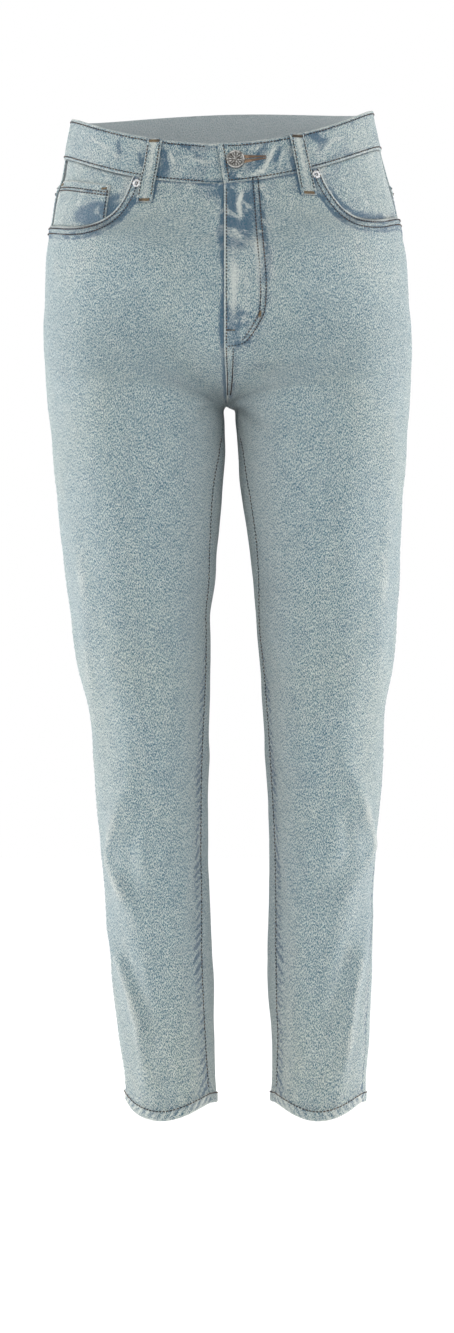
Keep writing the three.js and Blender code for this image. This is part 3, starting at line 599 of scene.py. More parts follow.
def denim_material():
    it = Nodes("Light_Wash_Denim", {
        "Roughness": 0.9, "Specular IOR Level": 0.2, "Sheen Weight": 0.4, "Sheen Roughness": 0.4,
    })
    flat = it.new("UVMap", uv_map="Cloth").outputs["UV"]
    curve, times = it.curve, it.times

    def noise(across, along, turn, detail, rough):
        """Noise over the cloth's own flat map."""
        return it.noise(it.turned(flat, turn, (across, along)), 1.0, detail, rough)

    grain = it.add(*[curve(noise(*row), low, 1 - low, -size, size) for *row, low, size in GRAIN])
    blotch = noise(34, 24, 0, 4, 0.6)
    wide = noise(9, 6, 0, 3, 0.5)
    deep, wash, pale = it.mask("deep"), it.mask("wash"), it.mask("pale")
    # Where the cloth was creased in the wash it is streaked between indigo and worn pale.
    creased = it.add(times(noise(70, 30, 32, 3, 0.55), 0.55), times(noise(36, 80, 18, 3, 0.55), 0.45))
    # The deep mask darkens towards indigo both where indigo stayed in the cloth and where shade is painted;
    # the pale mask lightens both where the cloth wore pale and where highlights are painted.
    kept_indigo_and_shade = it.add(deep, curve(blotch, 0.35, 0.7, -0.3, 0.3), curve(grain, -1.0, 1.0, 0.18, -0.18))
    kept_indigo_and_shade = times(curve(kept_indigo_and_shade, 0.05, 0.72, 0.0, 0.96), curve(deep, 0.0, 0.15))
    pale_wear_and_highlight = it.add(pale, curve(blotch, 0.3, 0.7, -0.25, 0.2), curve(grain, -1.0, 1.0, -0.2, 0.2))
    pale_wear_and_highlight = times(curve(pale_wear_and_highlight, 0.1, 1.0, 0.0, 0.9), curve(pale, 0.0, 0.15))
    colour = BASE
    for amount, over in (
        (curve(wide, 0.42, 0.7, 0.0, 0.8), TINT),
        (curve(wide, 0.52, 0.3, 0.0, 0.4), COOL),
        (curve(blotch, 0.52, 0.72, 0.0, 0.24), PALE),
        (curve(blotch, 0.48, 0.28, 0.0, 0.28), DARK),
        (times(it.mask("ochre"), curve(blotch, 0.3, 0.6, 0.4, 1.0)), OCHRE),
        (times(curve(creased, 0.49, 0.43, 0.0, 0.75), wash), INDIGO),
        (kept_indigo_and_shade, INDIGO),
        (times(curve(creased, 0.51, 0.57, 0.0, 0.85), wash), PALE),
        (curve(grain, 0.0, -0.8, 0.0, 0.92), DARK),
        (times(curve(grain, 0.0, 0.8, 0.0, 0.78), curve(kept_indigo_and_shade, 0.0, 1.0, 1.0, 0.25)), PALE),
        (pale_wear_and_highlight, PALE),
        (it.mask("inside"), it.mix(curve(grain, 0.2, -1.4, 0.0, 0.5), INSIDE, BASE)),
    ):
        colour = it.mix(amount, colour, over)
    it.put(it.shader, {"Base Color": colour})
    twill = {"Vector": it.turned(flat, -40), "Scale": 260, "Distortion": 1.2, "Detail": 1.0}
    wave = it.new("TexWave", twill, wave_type="BANDS").outputs["Fac"]
    it.bump(it.add(times(wave, 0.35), times(grain, 0.5)), 0.6, 0.0006)
    return it.material


def thread_material(name, base, other):
    it = Nodes(name, {"Roughness": 0.7, "Specular IOR Level": 0.3})
    place = it.new("TexCoord").outputs["Object"]
    it.put(it.shader, {"Base Color": it.mix(it.curve(it.noise(place, 130), 0.4, 0.62), base, other)})
    it.bump(it.noise(place, 2600), 0.4, 0.0002)
    return it.material


def metal_material(name, light, dark):
    it = Nodes(name, {"Metallic": 1.0})
    spots = it.noise(it.new("TexCoord").outputs["Object"], 420, 4)
    colour = it.mix(it.curve(spots, 0.42, 0.66), light, dark)
    it.put(it.shader, {
        "Base Color": it.mix(it.mask("hollow"), colour, SHADOW),
        "Roughness": it.curve(spots, 0.35, 0.7, 0.26, 0.5),
    })
    it.bump(spots, 0.25, 0.0002)
    return it.material


DENIM = denim_material()
THREAD = thread_material("Topstitch_Thread", srgb(40, 38, 42), srgb(80, 66, 56))
TACK = thread_material("Bartack_Thread", srgb(116, 101, 78), srgb(70, 61, 52))
HOLE_THREAD = thread_material("Buttonhole_Thread", srgb(158, 132, 108), srgb(108, 90, 76))
BUTTON_METAL = metal_material("Aged_Metal", srgb(178, 178, 174), srgb(112, 110, 106))
RIVET_METAL = metal_material("Bright_Metal", srgb(226, 227, 228), srgb(180, 180, 180))

# One stitch: rings of points along it, with their place, size and height, and how many points a ring has.
STITCH = table(
    "place size rise", (0, 0.35, -1), (0.16, 0.95, 0.15), (0.5, 1, 0.35), (0.84, 0.95, 0.15), (1, 0.35, -1),
)
RING = 6
SEWN = {"front": [], "back": [], "band": [], "pockets": [], "tacks": [], "hole": []}


def stitch_row(path, normals, length=2.6, gap=0.7, radius=0.55, lift=0.14):
    """Points and quads of the stitches along a dense path."""
    run = along_lines(path[None])[0]
    count = int(run[-1] // (length + gap))
    if count < 1:
        return np.zeros((0, 3)), np.zeros((0, 4), int)
    pitch = run[-1] / count
    begin = np.arange(count) * pitch + gap / 2
    at = (begin[:, None] + STITCH["place"] * (pitch - gap)).ravel()
    centre, normal = picked(run, path, at), picked(run, normals, at)
    normal /= np.linalg.norm(normal, axis=1, keepdims=True)
    tangent = picked(run, path, at + 0.4) - picked(run, path, at - 0.4)
    tangent /= np.maximum(np.linalg.norm(tangent, axis=1, keepdims=True), 1e-9)
    sideways = np.cross(tangent, normal)
    centre = centre + normal * (np.tile(STITCH["rise"], count)[:, None] * radius + lift)
    angle = (np.arange(RING) * 2 * math.pi / RING)[None, :, None]
    ring = np.cos(angle) * sideways[:, None, :] + np.sin(angle) * normal[:, None, :]
    points = centre[:, None, :] + ring * (np.tile(STITCH["size"], count)[:, None, None] * radius)
    rings = len(STITCH["size"])
    quads = [
        (k * RING + m, (k + 1) * RING + m, (k + 1) * RING + (m + 1) % RING, k * RING + (m + 1) % RING)
        for k in range(rings - 1) for m in range(RING)
    ]
    for cap in ((0, 1, 2, 3), (0, 3, 4, 5)):
        quads += [cap, [(rings - 1) * RING + c for c in cap[::-1]]]
    faces = (np.arange(count) * rings * RING)[:, None, None] + np.array(quads)[None]
    return points.reshape(-1, 3), faces.reshape(-1, 4)


def picked(run, values, at):
    return np.stack([np.interp(at, run, values[:, k]) for k in range(3)], axis=1)


def ahead_of(path, normals):
    """A path and its normals at even steps."""
    run = along_lines(path[None])[0]
    at = np.linspace(0, run[-1], max(2, int(run[-1] / STITCH_STEP)))
    return picked(run, path, at), picked(run, normals, at)


def surface_row(side, shares, heights, lift):
    """A stitch path through shares and heights on a side, at a height above the skin."""
    shares, heights = np.asarray(shares, float), np.asarray(heights, float)
    run = np.concatenate([[0], np.cumsum(np.hypot(np.diff(shares) * ROUND, np.diff(heights)))])
    at = np.linspace(0, run[-1], max(2, int(run[-1] / STITCH_STEP)))
    s, h = np.interp(at, run, shares), np.interp(at, run, heights)
    normal = outward(side, s, h)
    return skin(side, s, h) + normal * lift, normal


def sew(where, row, **options):
    SEWN[where].append((*row, options))


def sewing(name, where, material):
    """One object from all the rows of stitches of one place."""
    points, faces, start = [], [], 0
    for path, normals, options in SEWN[where]:
        some_points, some_faces = stitch_row(path, normals, **options)
        points.append(some_points)
        faces.append(some_faces + start)
        start += len(some_points)
    return make_mesh(name, np.concatenate(points), np.concatenate(faces), material)


def bartack(centre, normal, across, wide, tall):
    """Close short stitches side by side."""
    across = across / np.linalg.norm(across)
    up = np.cross(across, normal)
    count = int(wide / 0.55)
    for k in range(count + 1):
        lean = 0.35 if k % 2 else -0.35
        middle = centre + across * (k / count - 0.5) * wide
        reach = across * lean * 0.5 + up * tall / 2
        path = np.linspace(middle - reach, middle + reach, 5)
        row = path, np.repeat(normal[None], 5, axis=0)
        sew("tacks", row, length=tall - 0.1, gap=0.0, radius=0.3, lift=0.1)


def bartack_at(side, share, z, lift, wide, tall):
    s, h = np.array([share]), np.array([z])
    normal = outward(side, s, h)[0]
    across = (skin(side, s + 0.004, h) - skin(side, s - 0.004, h))[0]
    bartack(skin(side, s, h)[0] + normal * lift, normal, across, wide, tall)


def by_side(side, function, *fields):
    """Runs a function of one side on the places of each side."""
    found = None
    for which in (RIGHT, LEFT):
        here = np.broadcast_to(side == which, fields[0].shape)
        if here.any():
            part = function(which, *[field[here] for field in fields])
            found = np.zeros(fields[0].shape + part.shape[1:]) if found is None else found
            found[here] = part
    return found


class Piece:
    """A grid piece of cloth with its face, normals and distances from its edges."""

    def __init__(self, side, share, z, lift=0.0):
        self.side, self.share, self.z = side, share, z
        self.normal = by_side(side, outward, share, z)
        lifted = self.normal * np.broadcast_to(lift, share.shape)[..., None]
        self.face = by_side(side, skin, share, z) + lifted

    def away(self, which, most=16.0):
        edge = {"in": self.face[:, 0], "side": self.face[:, -1], "low": self.face[0], "top": self.face[-1]}
        return away_from(self.face, edge[which], most)

    def make(self, name, relief, wall, looks, flat, area, pull=SEAM_PULL):
        """Makes the piece in place of the node of its name. Its flat and area are not used."""
        self.outer = self.face + self.normal * relief[..., None]
        inside = np.minimum(-wall, relief - 0.75 * CLOTH)
        inner = self.face + self.normal * inside[..., None]
        obj = cloth(name, pull_edges(self.outer, pull), pull_edges(inner, pull), looks)
        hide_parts(name.lower())

    def crossing(self, field, level, rows=None, down=False, back=False):
        """Where a field grows past a level, line by line: across the rows, or down the columns."""
        outer, normal = self.outer, self.normal
        if down:
            field, outer, normal = field.T, outer.swapaxes(0, 1), normal.swapaxes(0, 1)
        if back:
            field, outer, normal = field[:, ::-1], outer[:, ::-1], normal[:, ::-1]
        path, normals = [], []
        for i in range(len(field)) if rows is None else rows:
            f = field[i]
            found = np.where((f[:-1] < level) & (f[1:] >= level))[0]
            if len(found):
                j = found[0]
                t = (level - f[j]) / (f[j + 1] - f[j])
                path.append(lerp(outer[i, j], outer[i, j + 1], t))
                normals.append(normal[i, j] if back else lerp(normal[i, j], normal[i, j + 1], t))
        return np.array(path), np.array(normals)

    def seam(self, *where, **how):
        return ahead_of(*self.crossing(*where, **how))


def wear_and_painted_light(pale, deep, wash, ochre=0.0):
    """Masks for the cloth's looks: paled by use and by painted highlights, indigo left in and painted shade,
    streaked in the wash, tinted ochre.
    """
    pale, deep, wash = np.clip(pale, 0, 1.2), np.clip(deep, 0, 1), np.clip(wash, 0, 1)
    return {"pale": pale, "deep": deep, "wash": wash, "ochre": ochre}


# Marks drawn by place: (side, share, z, wide, tall, amount) for darker cloth, mostly indigo left in it and
# partly painted shade, and for cloth faded pale.
DEEP_SPOTS = [
    (LEFT, 0.010, -72, 5, 26, 0.95), (LEFT, 0.036, -92, 12, 20, 1.0), (LEFT, 0.014, -102, 8, 20, 1.0),
    (LEFT, 0.046, -66, 10, 10, 0.6), (LEFT, 0.008, -180, 7, 13, 1.0), (LEFT, 0.03, -180, 10, 10, 1.0),
    (LEFT, 0.026, -203, 12, 6, 0.7), (LEFT, 0.0735, -112, 4, 30, 0.4), (LEFT, 0.062, -130, 2.4, 40, 0.6),
    # The narrow right-side rows at shares 0.004 and 0.003 are a painted shadow beside the fly's edge.
    (LEFT, 0.048, -150, 2.0, 30, 0.35), (RIGHT, 0.004, -100, 3.5, 44, 0.8), (RIGHT, 0.020, -62, 12, 8, 0.6),
    (RIGHT, 0.004, -185, 3, 30, 0.75), (RIGHT, 0.128, -62, 9, 8, 0.5), (LEFT, 0.132, -56, 9, 8, 0.5),
    # The long thin rows, 40 to 50 mm wide and 4 mm tall, are painted shade along the creases across the hips.
    (LEFT, 0.022, -228, 4, 26, 0.6), (RIGHT, 0.003, -232, 3, 26, 0.7), (RIGHT, 0.12, -236, 44, 4, 0.16),
    (LEFT, 0.12, -222, 40, 4, 0.16),
    (RIGHT, 0.20, -122, 50, 4, 0.14), (LEFT, 0.22, -112, 44, 4, 0.14), (RIGHT, 0.15, -196, 50, 4, 0.16),
    (LEFT, 0.2, -186, 50, 4, 0.16),
]
PALE_SPOTS = [
    (LEFT, 0.020, -146, 5, 28, 0.75), (LEFT, 0.036, -146, 2.6, 26, 0.55), (LEFT, 0.055, -122, 4, 34, 0.6),
    (LEFT, 0.028, -78, 3, 14, 0.5), (LEFT, 0.050, -190, 5, 8, 0.5), (LEFT, 0.0785, -120, 3, 60, 0.3),
    (RIGHT, 0.30, -128, 60, 22, 0.22), (LEFT, 0.30, -126, 60, 22, 0.22), (RIGHT, 0.085, -80, 14, 14, 0.22),
    (LEFT, 0.11, -76, 14, 14, 0.22),
]
WASH_SPOTS = [
    (LEFT, 0.03, -84, 18, 34, 0.9), (LEFT, 0.066, -120, 7, 60, 0.7), (LEFT, 0.03, -186, 16, 18, 0.8),
    (RIGHT, 0.012, -78, 12, 28, 0.5), (RIGHT, 0.14, -66, 16, 12, 0.6), (LEFT, 0.14, -60, 16, 12, 0.6),
    (LEFT, 0.01, -232, 10, 26, 0.7), (RIGHT, 0.006, -232, 8, 26, 0.5),
]

# Strokes worn pale or kept indigo: side, amount, half-width and a path of share and height.
BAND_PALE = [
    (RIGHT, 0.97, 1.8, [(0.108, -23), (0.095, -38)]),
    (RIGHT, 0.65, 2.6, [(0.081, -30), (0.034, -35), (0.008, -31)]),
    (LEFT, 1.08, 1.9, [(0.103, -15), (0.089, -30), (0.072, -46)]),
    (LEFT, 0.97, 1.6, [(0.123, -20), (0.109, -33), (0.103, -46)]),
    (LEFT, 0.76, 1.6, [(0.072, -17), (0.061, -24)]),
    (LEFT, 0.76, 1.6, [(0.047, -49), (0.079, -41)]),
    (RIGHT, 0.65, 2.8, [(0.318, -3), (0.25, -18), (0.19, -36)]),
    (RIGHT, 0.86, 1.6, [(0.196, -14), (0.164, -24)]),
    (LEFT, 0.76, 2.6, [(0.192, -30), (0.229, -12), (0.273, -6)]),
    (LEFT, 0.54, 2.6, [(0.236, -24), (0.296, -18)]),
    (LEFT, 0.86, 1.6, [(0.022, -46), (0.041, -53)]),
]
BAND_DEEP = [
    (RIGHT, 0.84, 4, [(0.224, -9), (0.213, -27)]),
    (RIGHT, 1.12, 2.4, [(0.117, -20), (0.112, -47)]),
    (RIGHT, 0.92, 3.0, [(0.093, -17), (0.059, -22), (0.028, -21)]),
    (RIGHT, 0.68, 2.5, [(0.06, -27), (0.045, -32)]),
    (LEFT, 1.07, 3.0, [(0.081, -18), (0.059, -43)]),
    (LEFT, 1.07, 2.4, [(0.113, -18), (0.094, -39)]),
    (LEFT, 1.51, 3.0, [(0.133, -18), (0.135, -45)]),
    (LEFT, 1.14, 4.0, [(0.176, -6), (0.213, -16)]),
    (RIGHT, 0.92, 3.0, [(0.172, -21), (0.159, -40)]),
    (LEFT, 1.07, 2.4, [(0.01, -16), (0.047, -15), (0.064, -12)]),
    (LEFT, 0.88, 3.0, [(0.013, -44), (0.022, -52)]),
    (LEFT, 0.8, 2.2, [(0.182, -26), (0.226, -8)]),
    (LEFT, 0.7, 2.2, [(0.2, -32), (0.25, -22), (0.286, -20)]),
    (LEFT, 0.7, 2.0, [(0.052, -30), (0.048, -42)]),
]
FLY_PALE = [
    (LEFT, 0.95, 1.5, [(0.037, -58), (0.025, -75), (0.031, -89)]),
    (LEFT, 0.6, 1.3, [(0.056, -57), (0.062, -73)]),
    (LEFT, 0.3, 2.4, [(0.015, -136), (0.015, -190)]), (LEFT, 0.5, 1.2, [(0.018, -99), (0.03, -107)]),
    (LEFT, 0.45, 1.6, [(0.04, -131), (0.042, -176)]),
]
FRONT_PALE = [
    (RIGHT, 0.5, 1.5, [(0.06, -58), (0.045, -84)]), (RIGHT, 0.5, 1.5, [(0.09, -56), (0.075, -78)]),
    (LEFT, 0.5, 1.5, [(0.085, -52), (0.095, -76)]), (LEFT, 0.5, 1.5, [(0.115, -50), (0.12, -72)]),
]


def blot(share, z, s, h, wide, tall):
    """A soft spot round one share and height."""
    return np.exp(-(((share - s) * ROUND / wide) ** 2 + ((z - h) / tall) ** 2))


def spots(piece, rows):
    return sum(row[-1] * blot(piece.share, piece.z, *row[1:-1]) for row in rows if row[0] == piece.side)


def strokes(piece, rows):
    """The rows' amounts laid along their paths, moved along so that they do not fade at the centre line."""
    moved = [(side, amount, wide, [(s + CLEAR, h) for s, h in path]) for side, amount, wide, path in rows]

    def laid(side, share, z):
        return ridge(side, np.abs(share) + CLEAR, z, moved)

    return by_side(piece.side, laid, piece.share, piece.z)


LOOP_RISE = table("t lift", (0, 2), (0.12, 2), (0.3, 2.9), (0.5, 4.0), (0.8, 3.9), (1, 2.6))
LOOP_BELOW, LOOP_LENGTH = 22, 64
WAIST_ROUND = float(read(GIRTH, "round", 0.0))
LOOPS = [
    ("Front_Right", RIGHT, 0.1366, 0.0085), ("Front_Left", LEFT, 0.1468, 0.0094),
    ("Side_Right", RIGHT, 0.6, 0.0), ("Side_Left", LEFT, 0.6, 0.0), ("Back", RIGHT, 1.0, 0.0),
]


def loop_shadows(piece):
    """Painted shadow in the cloth along the edges of the belt loops, and under them."""
    total = 0
    for _, loop_side, loop_share, lean in LOOPS:
        here = (piece.side == loop_side) | (loop_share == 1.0)
        bottom = float(waist_seam(loop_side, loop_share)) - LOOP_BELOW
        top = float(waist_top(loop_side, loop_share))
        t = np.clip((piece.z - bottom) / (top - bottom), 0, 1)
        across = np.abs(piece.share - loop_share - lean * (1 - t)) * WAIST_ROUND
        beside = bell(across, 6.3, 1.3) + 0.8 * (across < 6)
        total = total + here * beside * smooth(bottom - 3, bottom - 1, piece.z)
    return total


def groove(distance, depth=0.55, wide=0.9):
    return -depth * bell(distance, 0, wide)


def hem_relief(piece, d_hem):
    """The turned hem, a thicker band whose lower edge is roped, with its shade and light."""
    run = along_lines(piece.face)
    band = 0.9 * (1 - smooth(9.6, 10.8, d_hem)) - 0.55 * bell(d_hem, 0, 0.8)
    rope = np.sin(2 * np.pi * (run + 1.1 * d_hem) / 8.5 + 1.4 * wobble(run, d_hem, 5, 60))
    rope *= 0.38 * bell(d_hem, 5.5, 4.2)
    pull = 0.3 * np.sin(2 * np.pi * (run + 0.8 * d_hem) / 10.5) * bell(d_hem, 15, 5)
    shade = np.clip(-rope / 0.38, 0, 1) + np.clip(-pull / 0.3, 0, 1) * 0.6
    light = np.clip(rope / 0.38, 0, 1) * 0.8 + 0.7 * bell(d_hem, 0, 1.3)
    return band + rope + pull, shade, light


FINE_FOLDS = [
    (RIGHT, 1.0, 8, [(0.1, -222), (0.17, -214), (0.25, -212)]),
    (RIGHT, -1.5, 6, [(0.03, -246), (0.1, -246), (0.17, -240)]),
    (RIGHT, -1.2, 6, [(0.05, -236), (0.13, -231), (0.2, -222)]),
    (RIGHT, 0.9, 8, [(0.03, -270), (0.1, -276), (0.16, -288)]),
    (LEFT, 1.0, 8, [(0.08, -214), (0.16, -206), (0.25, -204)]),
    (LEFT, -1.5, 6, [(0.03, -246), (0.1, -243), (0.18, -236)]),
    (LEFT, -1.2, 6, [(0.06, -230), (0.14, -223), (0.22, -216)]),
    (LEFT, 0.9, 8, [(0.03, -276), (0.08, -287), (0.13, -300)]),
    (RIGHT, 1.2, 9, [(0.06, -560), (0.14, -580), (0.2, -590)]),
    (LEFT, 1.2, 9, [(0.05, -570), (0.12, -590), (0.18, -600)]),
    (RIGHT, 1.1, 8, [(0.07, -600), (0.06, -680), (0.1, -740)]),
    (LEFT, 1.3, 8, [(0.06, -620), (0.05, -680), (0.09, -720)]),
    (RIGHT, 1.0, 9, [(0.42, -620), (0.46, -660), (0.47, -700)]),
    (LEFT, 1.0, 9, [(0.44, -610), (0.47, -650), (0.48, -700)]),
    *[(side, 1.4, 12, [(0.56, -600), (0.6, -640), (0.62, -690)]) for side in (RIGHT, LEFT)],
    *[(side, 1.5, 10, [(0.7, -232), (0.8, -250), (0.93, -246)]) for side in (RIGHT, LEFT)],
]


def uneven(piece):
    """Small soft unevenness that all cloth has."""
    u = piece.share * ROUND
    rough = 0.35 * wobble(u, piece.z, 11, 70) + 0.22 * wobble(u, piece.z * 0.7, 12, 34)
    inside = smooth(0, 0.02, np.minimum(piece.share, 1 - piece.share))
    return (rough + ridge(piece.side, piece.share, piece.z, FINE_FOLDS, 0.1)) * inside


CRESTS = [
    (side, rise / 4.5 - 0.1, 0.55 * wide, path)
    for side, rise, wide, path in FOLDS if rise > 2.5 and wide < 20
]


def crest(piece):
    """How near each place is to the top of a raised fold, where the cloth catches light: the colour there is
    a painted highlight, and the cloth also wore pale there.
    """
    return ridge(piece.side, piece.share, piece.z, CRESTS, 0.0)


def ticks(distance, run, seed, middle=3.2, wide=2.6):
    """Short slanting marks along a puckered seam, from 0 to 1."""
    wave = np.sin(2 * np.pi * (run + 0.7 * distance) / 9.0 + 3 * wobble(run, distance * 0, seed, 80))
    strength = 0.7 + 0.4 * wobble(run, distance * 0, seed + 1, 130)
    return np.clip(1.6 * wave, 0, 1) * strength * bell(distance, middle, wide)


def seam_pucker(distance, run, seed, reach=5.0, size=0.32):
    wave = np.sin(2 * np.pi * run / 7.4 + 2 * wobble(run, run * 0, seed, 90))
    return size * wave * bell(distance, 2.2, reach)


def rows_down(*stretches):
    """Row positions: stretches of (from, to, step)."""
    out = []
    for low, high, step in stretches:
        count = max(1, int(round((high - low) / step)))
        out.extend(low + (high - low) * np.arange(count) / count)
    out.append(stretches[-1][1])
    return np.array(out)

HEM_ROWS = [HEM_Z + d for d in (0, 0.4, 1, 2, 3.4, 5, 6.6, 8.2, 9.2, 9.8, 10.6)]
LEG_ROWS = [(HEM_Z + 12, -275, 2.8), (-275, -256, 2.2), (-256, -254, 1), (-254, -246, 1.4), (-246, -225, 2.2)]
FRONT_ROWS = [*LEG_ROWS, (-225, -125, 3.0), (-125, -60, 1.7), (-60, CENTRE_TOP_Z, 1.0)]
BACK_ROWS = [*LEG_ROWS, (-225, -78, 3.0), (-78, -70, 1.2)]


def leg_panel(side, place, stretches, widest):
    """A front or back panel, its lines' heights, the same as a grid, and the length along its inner edge."""
    vs = np.concatenate([HEM_ROWS, rows_down(*stretches)])
    piece = Piece(side, *panel_grid(place, side, vs, EDGE_STEPS, widest))
    columns = piece.share.shape[1]
    run = along_lines(piece.face.swapaxes(0, 1)).T[:, :1]
    return piece, vs, np.repeat(vs[:, None], columns, axis=1), np.repeat(run, columns, axis=1)


def make_leg(piece, name, v, relief, pale, deep, wash, flat, area):
    """Makes a panel, thicker at the turned hem and more yellow towards it."""
    ochre = 0.42 * smooth(HEM_Z + 150, HEM_Z + 5, v)
    wall = np.where(v < HEM_Z + 12, CLOTH + 1.3, CLOTH)
    piece.make(name, relief, wall, wear_and_painted_light(pale, deep, wash, ochre), flat, area)


def front_panel(side):
    piece, vs, v, run = leg_panel(side, front_place, FRONT_ROWS, 250)
    share, z = piece.share, piece.z
    d_mouth = away_from(piece.face, piece.face[vs >= POCKET_CORNER_V, -1])
    d_side = away_from(piece.face, piece.face[vs <= POCKET_CORNER_V + 0.1, -1])
    d_in, d_top, d_hem = piece.away("in"), piece.away("top"), piece.away("low", 30.0)
    hem, hem_shade, hem_light = hem_relief(piece, d_hem)
    high = crest(piece)
    above, low_leg, leg = v > CROTCH_Z, smooth(-420, -640, v), v < -300
    band = (1 - smooth(9.2, 10.2, d_mouth)) * (d_mouth < 15.9)
    rope = np.sin(2 * np.pi * (share * 900 + d_mouth) / 6.5)
    relief = hem + uneven(piece) + groove(d_side) + groove(d_top, 0.4) + 0.7 * high
    relief += seam_pucker(d_side, run, 21, 5, 0.3) * (d_side < 16)
    relief += seam_pucker(d_in, run, 22, 6, 0.45) * (v < -262) + groove(d_in, 0.5) * (v < CROTCH_Z)
    relief += 0.75 * band - 0.5 * bell(d_mouth, 0, 0.8) + 0.34 * rope * band
    # On the crests of the folds the pale is a painted highlight, and the cloth also wore pale there.
    pale = hem_light + 0.62 * high + 0.9 * bell(d_mouth, 0.6, 1.1) + 0.3 * bell(d_mouth, 5.2, 1.2)
    pale += 0.35 * ticks(d_in, run + 5.2, 31, 5.0, 4.8) * low_leg + 0.25 * (1 - smooth(9.6, 10.8, d_hem))
    pale += spots(piece, PALE_SPOTS) + strokes(piece, FLY_PALE + FRONT_PALE)
    pale += 0.35 * bell(d_side, 6, 2.5) * leg
    # Painted shadow just under the waistband seam, and round the belt loops.
    deep = 0.9 * hem_shade + spots(piece, DEEP_SPOTS) + 0.8 * loop_shadows(piece) + bell(d_top, 0, 2.6)
    # Darker along the mouth's two stitch rows: painted shade round the stitches, with indigo left there.
    deep += band * (0.7 * bell(d_mouth, 2.8, 1.1) + 0.75 * bell(d_mouth, 7.7, 1.1))
    deep += band * (0.22 + 0.75 * np.clip(rope, 0, 1))
    # Painted shadow just below the raised mouth band, and painted shade on the inner thighs near the crotch.
    deep += 1.1 * bell(d_mouth, 11.4, 1.6) + 0.12 * bell(z, -300, 60) * smooth(0.16, 0.04, share)
    deep += 3.8 * ticks(d_in, run, 31, 5.0, 6.0) * low_leg + 0.7 * bell(d_in, 0, 1.5) * (v < -262)
    deep += 1.8 * ticks(d_side, run, 33, 4.0, 4.2) * smooth(-260, -420, v)
    deep += 0.8 * bell(d_side, 0, 1.6) * (v < -125)
    wash = spots(piece, WASH_SPOTS) + 0.8 * bell(d_top, 0, 11) + 0.5 * (1 - smooth(9, 16, d_hem))
    wash += 0.35 * bell(d_mouth, 14, 5) * (d_mouth < 15.9)
    wash += 0.5 * bell(d_in, 0, 12) * low_leg + 0.4 * bell(d_side, 0, 12) * leg
    if side == LEFT:
        fly = read(FLY, "share", z) - share
        inside = smooth(-1.6, 1.6, fly * FLY_ROUND) * (z > -206)
        lap = (1 - smooth(8.6, 9.8, d_in)) * (z < -200) * (v > CROTCH_Z - 1)
        streak = np.sin(share * ROUND / 3.4) * bell(z, -140, 42) * inside
        relief += np.maximum(0.95 * inside, 0.8 * lap) - 0.5 * bell(d_in, 0, 0.7) * above + 0.22 * streak
        pale += 0.8 * bell(d_in, 0.8, 1.1) * above + 0.4 * bell(d_in, 9, 1.2) * lap
        pale += 0.25 * np.clip(streak, 0, 1)
        # Darker along the fly's two stitch rows, with painted shade round the stitches and indigo left there,
        # and painted shade just outside the raised fly.
        for inset, wide, amount in ((0, 1.2, 0.6), (4.2, 1.2, 0.6), (-2.4, 1.8, 0.4)):
            deep += amount * bell(fly * ROUND, inset, wide) * (z > -204)
    else:
        relief += groove(d_in, 0.5, 1.1) * above
        # Painted shadow beside the centre front, where the fly's edge lies over this side.
        deep += 0.8 * bell(d_in, 0, 2.2) * above
    make_leg(piece, f"Front_{WORD[side]}", v, relief, pale, deep, wash, (0.28, 0.88), 0.166)
    sew("front", piece.seam(along_lines(piece.face), 1.5, np.where((vs > HEM_Z + 12) & (vs < -285))[0]))
    sew("front", piece.seam(d_hem, 9.2, down=True))
    for away in (2.6, 7.8):
        sew("front", surface_row(side, *offset_mouth(side, away), 0.75), length=2.3, gap=0.6)


def offset_mouth(side, away):
    """Shares and heights of a line at a fixed distance from the pocket mouth, into the front panel."""
    share, z = mouth_place(side, np.linspace(0, 1, 160))
    points = skin(side, share, z)
    tangent = np.gradient(points, axis=0)
    tangent /= np.linalg.norm(tangent, axis=1, keepdims=True)
    inward = np.cross(outward(side, share, z), tangent)
    if np.mean(inward[:, 2]) > 0:
        inward = -inward
    target = points[:, 2] + inward[:, 2] * away
    step = 0.002
    speed = np.linalg.norm(skin(side, np.clip(share - step, 0, 1), z) - points, axis=1) / step
    along = np.hypot(inward[:, 0] * away, inward[:, 1] * away)
    moved = np.clip(share - along / np.maximum(speed, 1), 0.02, 0.4985)
    keep = target < waist_seam(side, moved) - 0.6
    return moved[keep], target[keep]


